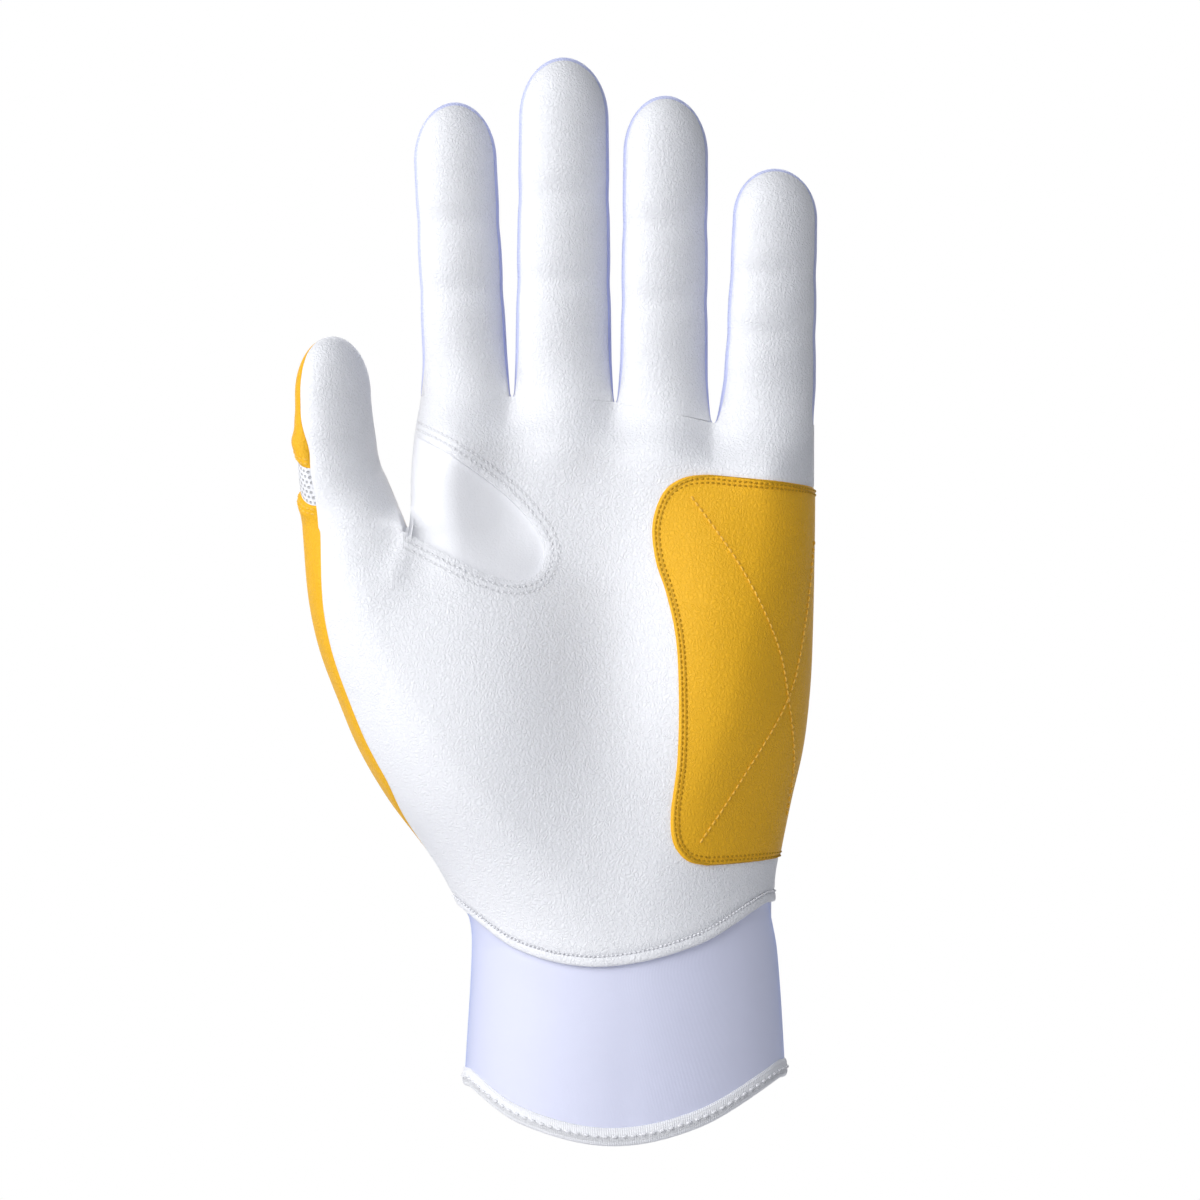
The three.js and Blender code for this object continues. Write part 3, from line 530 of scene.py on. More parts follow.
def tongue(digit, seams, facing, low, columns, rows, tip_rows):
    """Front or back of a digit from a height to its tip: level rows up to the start of the tip, then half a
    disc laid over the tip by the square-to-disc map, side = p sqrt(1 - t^2/2), over = t sqrt(1 - p^2/2). Its
    border lies at an angle from the middle of the front that goes from the side seam to the tip seam."""
    p = np.linspace(-1, 1, columns)[None, :]
    t = np.concatenate([np.zeros(rows), np.linspace(0, 1, tip_rows + 1)[1:]])[:, None]
    rise = np.concatenate([np.linspace(0, 1, rows), np.ones(tip_rows)])[:, None]
    height = mix(low(p) if callable(low) else low, digit.cap_base, rise)
    side = p * np.sqrt(1 - t ** 2 / 2)
    over = t * np.sqrt(1 - p ** 2 / 2)
    out = np.maximum(np.hypot(side, over), 1e-9)
    beside = seams[0](height) if callable(seams[0]) else seams[0]
    border = out / np.hypot(side / beside, over / seams[1] + 1e-12)
    border = border if facing > 0 else np.pi - border
    spread = np.sin(out * border) / out
    direction = np.stack([side * spread, -facing * np.cos(out * border), over * spread], -1)
    return digit_skin(digit, direction, np.broadcast_to(height, out.shape))


def tip_band(digit, seam, low, steps, tip_steps, rows):
    """Side wall of a digit: up one side, half a turn over the tip and down the other side."""
    up = np.linspace(low, digit.cap_base, steps)
    height = np.concatenate([up, np.full(tip_steps - 1, digit.cap_base), up[::-1]])[None, :]
    over = np.concatenate([np.zeros(steps), np.linspace(0, np.pi, tip_steps + 1)[1:-1],
                           np.full(steps, np.pi)])[None, :]
    angle = np.linspace(seam, np.pi - seam, rows)[:, None]
    direction = np.stack(np.broadcast_arrays(
        -np.sin(angle) * np.cos(over), -np.cos(angle) + 0 * over, np.sin(angle) * np.sin(over)), -1)
    return digit_skin(digit, direction, np.broadcast_to(height, direction.shape[:2]))


def grid_normals(points):
    """Normals of a grid from the steps along its rows and columns."""
    return unit(np.cross(np.gradient(points, axis=1), np.gradient(points, axis=0)))


def border_distance(points, sides):
    """Distance of each grid point from the named borders, along the grid lines."""
    up = np.linalg.norm(np.diff(points, axis=0), axis=2)
    across = np.linalg.norm(np.diff(points, axis=1), axis=2)
    rise = np.concatenate([np.zeros((1, points.shape[1])), np.cumsum(up, 0)])
    run = np.concatenate([np.zeros((points.shape[0], 1)), np.cumsum(across, 1)], 1)
    reach = {"bottom": rise, "top": rise[-1:] - rise, "left": run, "right": run[:, -1:] - run}
    return np.min([reach[side] for side in sides], axis=0) if sides else np.full(rise.shape, 1e3)


def sheet_faces(keep):
    """Quads of a closed sheet over the kept cells: outside, rim along every open border, inside."""
    rows, columns = keep.shape[0] + 1, keep.shape[1] + 1
    index = np.arange(rows * columns).reshape(rows, columns)
    a, b, c, d = index[:-1, :-1], index[:-1, 1:], index[1:, 1:], index[1:, :-1]
    under = rows * columns
    near = np.pad(keep, 1)
    sides = [(b, a, near[:-2, 1:-1]), (c, b, near[1:-1, 2:]),
             (d, c, near[2:, 1:-1]), (a, d, near[1:-1, :-2])]
    outside = np.stack([a, b, c, d], -1)[keep]
    inside = np.stack([d, c, b, a], -1)[keep] + under
    rims = [np.stack([p, q, q + under, p + under], -1)[keep & ~beside] for p, q, beside in sides]
    return np.concatenate([outside] + rims), inside


def turned_out(points, faces):
    """Faces turned so that the closed mesh has a volume above zero."""
    a, b, c, d = (points[faces[:, n]] for n in range(4))
    volume = np.sum(a * np.cross(b, c)) + np.sum(a * np.cross(c, d))
    return faces if volume > 0 else faces[:, ::-1]


def put_mesh(name, points, faces, finishes, finish_index=None, edge=None, uv=None, sharp=55):
    """New piece from points in millimetres, with its finishes, sewing distance and pattern map."""
    used, place = np.unique(np.concatenate([np.ravel(f) for f in faces]), return_inverse=True)
    sizes = [len(f) for f in faces]
    corners = np.split(place, np.cumsum(sizes)[:-1])
    mesh = bpy.data.meshes.new(name)
    mesh.from_pydata((points[used] * MM).tolist(), [], [c.tolist() for c in corners])
    for coat in finishes:
        mesh.materials.append(coat)
    if finish_index is not None:
        mesh.polygons.foreach_set("material_index", finish_index)
    if edge is not None:
        sewing = mesh.attributes.new("edge", "FLOAT", "POINT")
        sewing.data.foreach_set("value", (edge[used] * MM).astype("f"))
    if uv is not None:
        mesh.uv_layers.new(name="Pattern").data.foreach_set("uv", uv[used][place].astype("f").ravel())
    mesh.shade_smooth()
    mesh.set_sharp_from_angle(angle=np.radians(sharp))
    mesh.validate()
    piece = bpy.data.objects.new(name, mesh)
    bpy.context.scene.collection.objects.link(piece)
    return piece


def sheet(name, surface, thickness, finishes, base=0.0, sides=(), drop=0.45, keep=None, edge=None, sewn=None,
          relief=0.0):
    """Sheet of even thickness over a grid of points: its outside is raised by base and relief and rolls down
    towards its sewn borders, and its inside lies one thickness under the base."""
    points, normals = surface
    edge = border_distance(points, sides) if edge is None else edge
    keep = np.ones(np.array(points.shape[:2]) - 1, bool) if keep is None else keep
    lift = base + relief - drop * (1 - round_edge(edge / ROLL))
    outer = points + normals * np.expand_dims(np.broadcast_to(lift, edge.shape), -1)
    inner = points + normals * np.expand_dims(np.broadcast_to(base - thickness, edge.shape), -1)
    both = np.concatenate([outer.reshape(-1, 3), inner.reshape(-1, 3)])
    shell, inside = sheet_faces(keep)
    faces = turned_out(both, np.concatenate([shell, inside]))
    index = np.concatenate([np.zeros(len(shell), int), np.ones(len(inside), int)])
    width = border_distance(points, ("left",))
    height = border_distance(points, ("bottom",))
    uv = np.tile(np.stack([width.ravel(), height.ravel()], -1), (2, 1)) * MM
    distance = np.tile((edge if sewn is None else sewn).ravel(), 2)
    return put_mesh(name, both, list(faces), finishes, index, distance, uv)


def bead(name, path, normals, ups, half_out, half_up, finishes, power=0.7, sides=16):
    """Rounded band along a path: a rounded oblong section carried along it, closed at both ends."""
    turn = np.linspace(0, 2 * np.pi, sides, endpoint=False)
    out = half_out * np.sign(np.cos(turn)) * np.abs(np.cos(turn)) ** power
    up = half_up * np.sign(np.sin(turn)) * np.abs(np.sin(turn)) ** power
    points = path[:, None] + normals[:, None] * out[:, None] + ups[:, None] * up[:, None]
    index = np.arange(len(path) * sides).reshape(len(path), sides)
    a, b = index[:-1], index[1:]
    flat = points.reshape(-1, 3)
    faces = np.stack([a, b, np.roll(b, -1, 1), np.roll(a, -1, 1)], -1).reshape(-1, 4)
    turned = turned_out(flat, faces)
    ends = [index[0], index[-1][::-1]]
    if turned is not faces:
        ends = [end[::-1] for end in ends]
    along = np.repeat(arc_length(path), sides)
    uv = np.stack([along, np.tile(turn, len(path))], -1) * MM
    return put_mesh(name, flat, list(turned) + ends, finishes, uv=uv, sharp=70)


def points_at(path, length, at):
    """Points of a path at distances along it."""
    return np.stack([np.interp(at, length, axis) for axis in path.T], -1)


def stitches(name, rows, coat, pitch, thread, share=0.74, rise=0.08):
    """Rows of sewn stitches. Each row is a path with normals, cut evenly; a stitch is a short thread whose
    radius is thread times the fourth root of 1 - s^4 and whose ends dip into the leather."""
    centres, tangents, ups = [], [], []
    for path, normals in rows:
        length = arc_length(path)
        count = max(int(length[-1] / pitch), 1)
        at = (np.arange(count) + 0.5) * length[-1] / count
        before, after = (points_at(path, length, at + shift) for shift in (-0.2, 0.2))
        centres.append((before + after) / 2)
        tangents.append(unit(after - before))
        ups.append(unit(points_at(normals, length, at)))
    centre, tangent, up = (np.concatenate(part)[:, None, None] for part in (centres, tangents, ups))
    s = np.linspace(-1, 1, 7)[None, :, None, None]
    turn = np.linspace(0, 2 * np.pi, 6, endpoint=False)[None, None, :, None]
    radius = thread * np.maximum(1 - s ** 4, 0.02) ** 0.25
    side = np.cross(tangent, up)
    height = rise * (1 - s ** 2) - 0.5 * thread * s ** 4
    points = (centre + tangent * s * share * pitch / 2 + up * (height + radius * np.sin(turn))
              + side * radius * np.cos(turn))
    count, rings, sides = points.shape[:3]
    index = np.arange(count * rings * sides).reshape(count, rings, sides)
    a, b = index[:, :-1], index[:, 1:]
    quads = np.stack([a, np.roll(a, -1, 2), np.roll(b, -1, 2), b], -1).reshape(-1, 4)
    flat = points.reshape(-1, 3)
    turned = turned_out(flat, quads)
    ends = list(index[:, 0]) + list(index[:, -1][:, ::-1])
    if turned is quads:
        ends = [end[::-1] for end in ends]
    return put_mesh(name, flat, list(turned) + ends, [coat], sharp=80)


def lifted(surface, lift):
    """Path raised off its surface."""
    path, normals = surface
    return path + normals * lift, normals


def place(piece, slot, nodes=(), body="hand"):
    """Lets a piece ride a body and stand for solids; its slot is not used."""
    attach(piece, body)
    return name_slot(piece, nodes)


def name_slot(piece, nodes):
    """Lets a piece stand for solids."""
    if nodes:
        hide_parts(*nodes)
    return piece


def bend(piece, slot, bodies, heights, nodes=()):
    """Bakes a piece's placing into its points and lets it stand for solids; the bodies and heights are not
    used.
    """
    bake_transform(piece)
    return name_slot(piece, nodes)


def add(tree, kind, inputs=None, **settings):
    """New node with its settings, socket values and links."""
    node = tree.nodes.new(kind)
    for name, value in settings.items():
        setattr(node, name, value)
    for socket, value in (inputs or {}).items():
        if isinstance(value, bpy.types.NodeSocket):
            tree.links.new(value, node.inputs[socket])
        else:
            node.inputs[socket].default_value = value
    return node


def maths(tree, operation, a, b=0.0, c=0.0):
    """Output of a maths node on up to three values."""
    return add(tree, "ShaderNodeMath", {0: a, 1: b, 2: c}, operation=operation).outputs[0]


def ranged(tree, value, low, high, to_low=0.0, to_high=1.0):
    """Smooth step of a value between two limits."""
    inputs = {"Value": value, "From Min": low, "From Max": high, "To Min": to_low, "To Max": to_high}
    return add(tree, "ShaderNodeMapRange", inputs, interpolation_type="SMOOTHSTEP").outputs["Result"]


def blended(tree, factor, a, b):
    """Colour mixed from a to b by a factor."""
    node = add(tree, "ShaderNodeMix", {0: factor, 6: a, 7: b}, data_type="RGBA")
    return node.outputs[2]


def start_finish(name, **sockets):
    """New material with the values of its shader's sockets."""
    material = bpy.data.materials.new(name)
    material.use_nodes = True
    shader = material.node_tree.nodes["Principled BSDF"]
    for socket, value in sockets.items():
        shader.inputs[socket.replace("_", " ").title().replace("Ior", "IOR")].default_value = value
    return material, material.node_tree, shader


def shade(colour, factor):
    """Colour times a factor, with full alpha."""
    return [channel * factor for channel in colour[:3]] + [1.0]


def end_finish(tree, shader, colour, height, depth, roughness):
    """Wires colour, roughness and a bump of a real depth to the shader."""
    bump = add(tree, "ShaderNodeBump", {"Height": height, "Distance": depth, "Strength": 1.0})
    tree.links.new(bump.outputs["Normal"], shader.inputs["Normal"])
    tree.links.new(colour, shader.inputs["Base Color"])
    tree.links.new(roughness, shader.inputs["Roughness"])


def leather(name, colour, grain, depth, roughness, rows=(), groove_shade=0.75, gloss=0.35, crease_shade=0.93):
    """Fine leather: wrinkled pebbles between creases, pores, soft tone changes, and sunk lines under stitched
    rows; the creases and the sunk lines are darkened in colour as painted shade."""
    material, tree, shader = start_finish(name, specular_ior_level=gloss)
    spot = add(tree, "ShaderNodeTexCoord").outputs["Object"]
    close = add(tree, "ShaderNodeVectorMath", {0: spot, "Scale": 1 / grain}, operation="SCALE").outputs[0]
    drift = add(tree, "ShaderNodeTexNoise", {"Vector": close, "Scale": 0.8, "Detail": 2.0})
    moved = add(tree, "ShaderNodeVectorMath", {0: drift.outputs["Color"], 1: (1.6, 1.6, 1.6), 2: close},
                operation="MULTIPLY_ADD").outputs[0]
    cells = add(tree, "ShaderNodeTexVoronoi", {"Vector": moved, "Scale": 1.0}, feature="DISTANCE_TO_EDGE")
    pebble = ranged(tree, cells.outputs["Distance"], 0.0, 0.3)
    folds = add(tree, "ShaderNodeTexNoise", {"Vector": close, "Scale": 1.3, "Detail": 3.0}).outputs["Fac"]
    pores = add(tree, "ShaderNodeTexNoise", {"Vector": close, "Scale": 5.0, "Detail": 3.0}).outputs["Fac"]
    tone = add(tree, "ShaderNodeTexNoise", {"Vector": spot, "Scale": 45.0, "Detail": 3.0}).outputs["Fac"]
    height = maths(tree, "MULTIPLY_ADD", folds, 1.2, maths(tree, "MULTIPLY_ADD", pores, 0.3, pebble))
    tinted = blended(tree, tone, shade(colour, 0.965), shade(colour, 1.0))
    # painted shade: the creases between the pebbles are darkened by the crease factor
    shaded_colour = blended(tree, pebble, shade(colour, crease_shade), tinted)
    if rows:
        edge = add(tree, "ShaderNodeAttribute", attribute_name="edge").outputs["Fac"]
        nears = [ranged(tree, maths(tree, "ABSOLUTE", maths(tree, "SUBTRACT", edge, row * MM)), 0.0, 0.5 * MM,
                        1.0, 0.0) for row in rows]
        sunk = nears[0]
        for near in nears[1:]:
            sunk = maths(tree, "MAXIMUM", sunk, near)
        height = maths(tree, "MULTIPLY_ADD", sunk, -1.2, height)
        # painted shade: along the stitch rows the colour is darkened by the row factor, as the shade in the
        # sunk grooves
        shaded_colour = blended(tree, maths(tree, "MULTIPLY", sunk, 0.55), shaded_colour, shade(colour, groove_shade))
    rough = ranged(tree, pores, 0.2, 0.8, roughness - 0.06, roughness + 0.08)
    end_finish(tree, shader, shaded_colour, height, depth, rough)
    return material


def knit(name, colour, pitch, depth, roughness, sheen, tint=(1, 1, 1, 1), ior=1.45):
    """Fine stretch knit: ribs along the pattern map with loops across them."""
    material, tree, shader = start_finish(name, sheen_weight=sheen, sheen_roughness=0.4, sheen_tint=tint,
                                          specular_ior_level=0.5, ior=ior)
    flat = add(tree, "ShaderNodeUVMap", uv_map="Pattern").outputs["UV"]
    ribs = add(tree, "ShaderNodeTexWave", {"Vector": flat, "Scale": 0.314 / pitch}, bands_direction="X")
    loops = add(tree, "ShaderNodeTexWave", {"Vector": flat, "Scale": 0.42 / pitch}, bands_direction="Y")
    spot = add(tree, "ShaderNodeTexCoord").outputs["Object"]
    tone = add(tree, "ShaderNodeTexNoise", {"Vector": spot, "Scale": 60.0, "Detail": 3.0}).outputs["Fac"]
    height = maths(tree, "MULTIPLY_ADD", loops.outputs["Fac"], 0.6, ribs.outputs["Fac"])
    toned = blended(tree, tone, shade(colour, 0.96), shade(colour, 1.0))
    rough = ranged(tree, tone, 0.2, 0.8, roughness - 0.05, roughness + 0.05)
    end_finish(tree, shader, toned, height, depth, rough)
    return material


def mesh_cloth(name, colour, pitch):
    """Air mesh: round holes in offset rows over the pattern map, with a raised net between them; the holes
    are painted darker as the shade seen through them.
    """
    material, tree, shader = start_finish(name, sheen_weight=0.15, sheen_roughness=0.5,
                                          specular_ior_level=0.3)
    flat = add(tree, "ShaderNodeUVMap", uv_map="Pattern").outputs["UV"]
    parts = add(tree, "ShaderNodeSeparateXYZ", {0: flat})
    line = maths(tree, "DIVIDE", parts.outputs[1], pitch * 0.866)
    odd = maths(tree, "MULTIPLY", maths(tree, "FLOORED_MODULO", maths(tree, "FLOOR", line), 2.0), 0.5)
    across = maths(tree, "ADD", maths(tree, "DIVIDE", parts.outputs[0], pitch), odd)
    x = maths(tree, "SUBTRACT", maths(tree, "FRACT", across), 0.5)
    y = maths(tree, "SUBTRACT", maths(tree, "FRACT", line), 0.5)
    away = maths(tree, "SQRT", maths(tree, "MULTIPLY_ADD", x, x, maths(tree, "MULTIPLY", y, y)))
    net = ranged(tree, away, 0.18, 0.36)
    spot = add(tree, "ShaderNodeTexCoord").outputs["Object"]
    fuzz = add(tree, "ShaderNodeTexNoise", {"Vector": spot, "Scale": 2500.0, "Detail": 2.0}).outputs["Fac"]
    height = maths(tree, "MULTIPLY_ADD", fuzz, 0.25, net)
    yarn = blended(tree, fuzz, shade(colour, 0.94), shade(colour, 1.0))
    # painted shade: the holes take 0.58 of the colour, as the shade seen through them
    toned = blended(tree, net, shade(colour, 0.58), yarn)
    rough = ranged(tree, fuzz, 0.2, 0.8, 0.7, 0.85)
    end_finish(tree, shader, toned, height, 0.3 * MM, rough)
    return material


def fuzzy(name, colour, size, depth, roughness):
    """Napped or foamed stuff: small cells broken up by noise."""
    material, tree, shader = start_finish(name, sheen_weight=0.3, sheen_roughness=0.6, specular_ior_level=0.2)
    spot = add(tree, "ShaderNodeTexCoord").outputs["Object"]
    cells = add(tree, "ShaderNodeTexVoronoi", {"Vector": spot, "Scale": 1 / size}).outputs["Distance"]
    fuzz = add(tree, "ShaderNodeTexNoise", {"Vector": spot, "Scale": 2 / size, "Detail": 4.0}).outputs["Fac"]
    height = maths(tree, "MULTIPLY_ADD", fuzz, 0.8, cells)
    toned = blended(tree, cells, shade(colour, 1.0), shade(colour, 0.8))
    rough = ranged(tree, fuzz, 0.2, 0.8, roughness - 0.06, roughness + 0.06)
    end_finish(tree, shader, toned, height, depth, rough)
    return material


def thread_finish(name, colour, sheen=0.2):
    """Sewing thread: fine twist over a soft change of tone."""
    material, tree, shader = start_finish(name, sheen_weight=sheen, sheen_roughness=0.4,
                                          specular_ior_level=0.4 if sheen else 0.15)
    spot = add(tree, "ShaderNodeTexCoord").outputs["Object"]
    twist = add(tree, "ShaderNodeTexWave", {"Vector": spot, "Scale": 900.0, "Distortion": 1.0},
                bands_direction="DIAGONAL").outputs["Fac"]
    toned = blended(tree, twist, shade(colour, 0.86), shade(colour, 1.0))
    rough = ranged(tree, twist, 0.0, 1.0, 0.5, 0.6)
    end_finish(tree, shader, toned, twist, 0.05 * MM, rough)
    return material


def recipes():
    """Maker, colour and settings of each finish of the glove."""
    tones, grain = bpy.context.scene.glove_colours, bpy.context.scene.glove_sizes.grain
    # the crease factors below paint shade into the creases of the grain
    white = dict(grain=grain, depth=0.075 * MM, roughness=0.56, crease_shade=0.965)
    smooth = dict(grain=grain, depth=0.02 * MM, roughness=0.5, crease_shade=0.985)
    yellow = dict(grain=grain, depth=0.07 * MM, roughness=0.5, gloss=0.2)
    wall = dict(pitch=0.7 * MM, depth=0.05 * MM, roughness=0.6, sheen=0.3, tint=(0.4, 0.5, 1, 1))
    satin = dict(pitch=0.35 * MM, depth=0.015 * MM, roughness=0.42, sheen=0.9, tint=(0.3, 0.45, 1, 1),
                 ior=1.9)
    tape = dict(pitch=0.5 * MM, depth=0.06 * MM, roughness=0.6, sheen=0.1)
    return {
        "white_leather": (leather, tones.white, white),
        # palm and patch leathers: their row factors paint shade into the grooves of their stitch rows
        "palm_leather": (leather, tones.white, dict(white, rows=CUTOUT_ROWS, groove_shade=0.72)),
        "smooth_leather": (leather, tones.white, smooth),
        "yellow_leather": (leather, tones.yellow, yellow),
        "patch_leather": (leather, tones.yellow, dict(yellow, rows=PATCH_ROWS, groove_shade=0.4)),
        "wall_knit": (knit, tones.wall, wall),
        "cuff_satin": (knit, tones.satin, satin),
        "tape": (knit, tones.white, tape),
        "air_mesh": (mesh_cloth, tones.white, dict(pitch=1.35 * MM)),
        "lining": (fuzzy, shade(tones.white, 0.9), dict(size=0.5 * MM, depth=0.05 * MM, roughness=0.8)),
        "foam": (fuzzy, FOAM_TONE, dict(size=1.2 * MM, depth=0.2 * MM, roughness=0.9)),
        "loop_pile": (fuzzy, shade(tones.white, 0.85), dict(size=0.6 * MM, depth=0.35 * MM, roughness=0.9)),
        "hook_pile": (fuzzy, shade(tones.white, 0.8), dict(size=1.1 * MM, depth=0.5 * MM, roughness=0.6)),
        "white_thread": (thread_finish, tones.white, {}),
        "yellow_thread": (thread_finish, tones.thread, {}),
        # painted shade: the patch's border thread is darkened to brown, as the shade in its sunk seam
        "border_thread": (thread_finish, shade(tones.yellow, 0.62), dict(sheen=0.0)),
    }


def finish(kind):
    """A finish of the glove by kind, made when it is first asked for."""
    name = "glove_" + kind
    if name not in bpy.data.materials:
        maker, colour, settings = recipes()[kind]
        maker(name, colour, **settings)
    return bpy.data.materials[name]


def lined(name):
    """A finish with the lining behind it."""
    return [finish(name), finish("lining")]


def thumb_seam(z):
    """Share of the thumb's column at which palm and backhand meet beside the thumb."""
    share, low, high = THUMB_SIDE
    return share * ease(low, high, z)


def hem_height(k):
    """Height of the palm's lower edge at a place."""
    return palm_hem(skin(k, palm_hem(0))[..., 0])


def finger_places(last):
    """Places across the four finger columns, with the finger seams among them."""
    column = np.concatenate([[0, SEAM_SHARE / 2], np.linspace(SEAM_SHARE, 1 - SEAM_SHARE, 19),
                             [1 - SEAM_SHARE / 2]])
    places = np.concatenate([1 + column, 2 + column, 3 + column, 4 + column])
    return np.concatenate([places, np.linspace(5, last, 6)])


def notch_outline(spread=0.0, count=260):
    """Outline of the cut-out as x and height, moved outwards by a distance."""
    points = np.array(NOTCH[1:-1])
    outline = spline(points, even_shares(points, count))
    ends = [spline(pair, np.linspace(0, 1, 12)) for pair in (NOTCH[:2], NOTCH[-2:])]
    outline = np.concatenate([ends[0][:-1], outline, ends[1][1:]])
    step = unit(np.gradient(outline, axis=0))
    return outline + spread * np.stack([-step[:, 1], step[:, 0]], -1)


def nearest_on(outline, x, z):
    """Signed distance of points from a closed outline, below zero inside, and the nearest points on it."""
    a, b = outline, np.roll(outline, -1, axis=0)
    flat = np.stack([x.ravel(), z.ravel()], -1)[:, None]
    run = b - a
    t = clamp(np.sum((flat - a) * run, -1) / np.maximum(np.sum(run * run, -1), 1e-9))
    foot = a + run * t[..., None]
    gap = np.linalg.norm(flat - foot, axis=-1)
    best = np.argmin(gap, axis=1)
    spans = (a[:, 1] > flat[..., 1]) != (b[:, 1] > flat[..., 1])
    rise = np.where(np.abs(run[:, 1]) < 1e-9, 1e-9, run[:, 1])
    crossing = a[:, 0] + run[:, 0] * (flat[..., 1] - a[:, 1]) / rise
    inside = np.sum(spans & (flat[..., 0] < crossing), axis=1) % 2 == 1
    pick = np.arange(len(flat))
    distance = np.where(inside, -1, 1) * gap[pick, best]
    return distance.reshape(x.shape), foot[pick, best].reshape(x.shape + (2,))


def touched(cells):
    """Grid points that are a corner of one of the cells."""
    return (np.pad(cells, ((0, 1), (0, 1))) | np.pad(cells, ((1, 0), (0, 1)))
            | np.pad(cells, ((0, 1), (1, 0))) | np.pad(cells, ((1, 0), (1, 0))))


def palm_surface():
    """Places and heights of the palm leather, with the cells that stay beside the cut-out and the thumb.
    Corners on the border of the cut-out are moved onto its outline."""
    thumb_columns, lower_rows, upper_rows = 34, 84, 28
    fingers = finger_places(LITTLE_SIDE)
    share = np.concatenate([np.linspace(0, 1, thumb_columns, endpoint=False), fingers])
    rows = np.arange(lower_rows + upper_rows + 1)[:, None]
    is_thumb = np.arange(len(share)) < thumb_columns
    top = root_height(np.where(share > 5, 10 - share, share))
    low = hem_height(share) + HEM_BAND
    z = np.where(rows <= lower_rows, mix(low, CROTCH, rows / lower_rows),
                 mix(CROTCH, top, (rows - lower_rows) / upper_rows))
    k = np.where(is_thumb, mix(thumb_seam(z), 1, share), share)
    keep = np.ones((len(rows) - 1, len(share) - 1), bool)
    first = int(np.argmax(share >= 1 + SEAM_SHARE - 1e-6))
    keep[lower_rows:, :first] = False
    outline = notch_outline()
    flat = skin(k, z)
    middle = (flat[:-1, :-1] + flat[1:, :-1] + flat[:-1, 1:] + flat[1:, 1:]) / 4
    outside = nearest_on(outline, middle[..., 0], middle[..., 2])[0] > 0
    cut = keep & ~outside
    keep &= outside
    border = touched(keep) & touched(cut)
    foot = nearest_on(outline, flat[..., 0], flat[..., 2])[1]
    z = np.where(border, foot[..., 1], z)
    k = np.where(border, place_of(foot[..., 0], foot[..., 1]), k)
    points = skin(k, z)
    beyond = np.maximum(web_line(points[..., 2]) - points[..., 0], 0)
    sewn = np.maximum(nearest_on(outline, points[..., 0], points[..., 2])[0], 0) + 4 * beyond
    return k, z, keep, sewn


def make_palm(sizes):
    """Palm leather, sunk under the heel patch, with two stitch rows round its cut-out."""
    k, z, keep, sewn = palm_surface()
    surface = hand(k, z)
    edge = np.minimum(sewn, border_distance(surface[0], ("left", "right", "bottom")))
    beyond = [(PATCH_BEYOND, height) for height in PATCH_SIDE[::-1]]
    outline = np.concatenate([spline(PATCH_EDGE, np.linspace(0, 1, 60)), beyond])
    covered = -nearest_on(outline, surface[0][..., 0], surface[0][..., 2])[0]
    sunk = -sizes.patch_sink / MM * ease(0.3, 2.5, covered)
    piece = sheet("palm_leather_skin", surface, sizes.leather / MM, lined("palm_leather"), keep=keep,
                  edge=edge, sewn=sewn, relief=sunk)
    place(piece, "white_leather", ["palm_leather"])
    rows = []
    for spread in CUTOUT_ROWS:
        flat = notch_outline(spread)
        path, normals = on_palm(flat)
        inner = flat[:, 0] > web_line(flat[:, 1]) + CUTOUT_CLEAR
        rows.append(lifted((path[inner], normals[inner]), -0.06))
    sewing = stitches("thumb_cutout_stitches", rows, finish("white_thread"), PITCH["cutout"],
                      0.75 * sizes.thread / MM, share=0.64)
    place(sewing, "white_leather")


def make_hem(sizes):
    """Rolled band along the palm's lower edge and the stitch row above it."""
    k = np.linspace(0.0, HEM["end"], 240)
    low = hem_height(k)
    path, normals = hand(k, low + HEM_BAND / 2)
    ups = unit(hand(k, low + HEM_BAND)[0] - hand(k, low)[0])
    band = bead("palm_hem_roll", path - normals * HEM["sink"], normals, ups, HEM["half_out"],
                HEM_BAND / 2 + HEM["over"], lined("white_leather"))
    place(band, "white_leather", ["palm_hem_binding"])
    row = lifted(hand(k, low + HEM_BAND + HEM["row"]), 0.05)
    sewing = stitches("palm_hem_stitches", [row], finish("white_thread"), PITCH["hem"],
                      0.9 * sizes.thread / MM)
    place(sewing, "white_leather")


class GLOVE_OT_palm(bpy.types.Operator):
    """Palm leather with its cut-out at the thumb crotch, its hem and their stitching"""
    bl_idname = "glove.palm"
    bl_label = "Palm"

    def execute(self, context):
        make_palm(context.scene.glove_sizes)
        make_hem(context.scene.glove_sizes)
        return {"FINISHED"}


def gusset_surface():
    """Smooth leather under the cut-out, turned round the index side of the hand up to the finger's root: the
    hand's back, a straight wall across the side, mix(back, front, w), and the hand's front. Below the crotch
    the back and the wall go straight down."""
    near = 0.05
    behind = np.linspace(GUSSET_SPAN[0], 1 - near, 10)
    wall = np.linspace(0, 1, 13)[1:-1]
    front = np.linspace(1 + near, GUSSET_SPAN[1], 58)
    k = np.concatenate([behind, np.ones(len(wall)), front])
    w = np.concatenate([np.zeros(len(behind)), wall, np.ones(len(front))])
    rows = np.linspace(0, 1, 50)[:, None]
    top = root_height(np.where(k < 1, 2 - k, k))
    z = mix(mix(CROTCH - GUSSET_TUCK, GUSSET_FOOT, w), top, rows)
    back = skin(np.minimum(k, 1 - near) + 0 * z, np.maximum(z, CROTCH + 0.02))
    back[..., 2] = z
    points = mix(back, skin(np.maximum(k, 1 + near) + 0 * z, z), w[:, None])
    k = np.broadcast_to(k, z.shape)
    under = nearest_on(notch_outline(GUSSET_UNDER), points[..., 0], z)[0] < 0
    side = k < 1 + 1.2 * SEAM_SHARE
    inside = under | (side & (z > CROTCH - GUSSET_TUCK))
    cells = inside[:-1, :-1] | inside[1:, :-1] | inside[:-1, 1:] | inside[1:, 1:]
    return k, (points, grid_normals(points)), cells


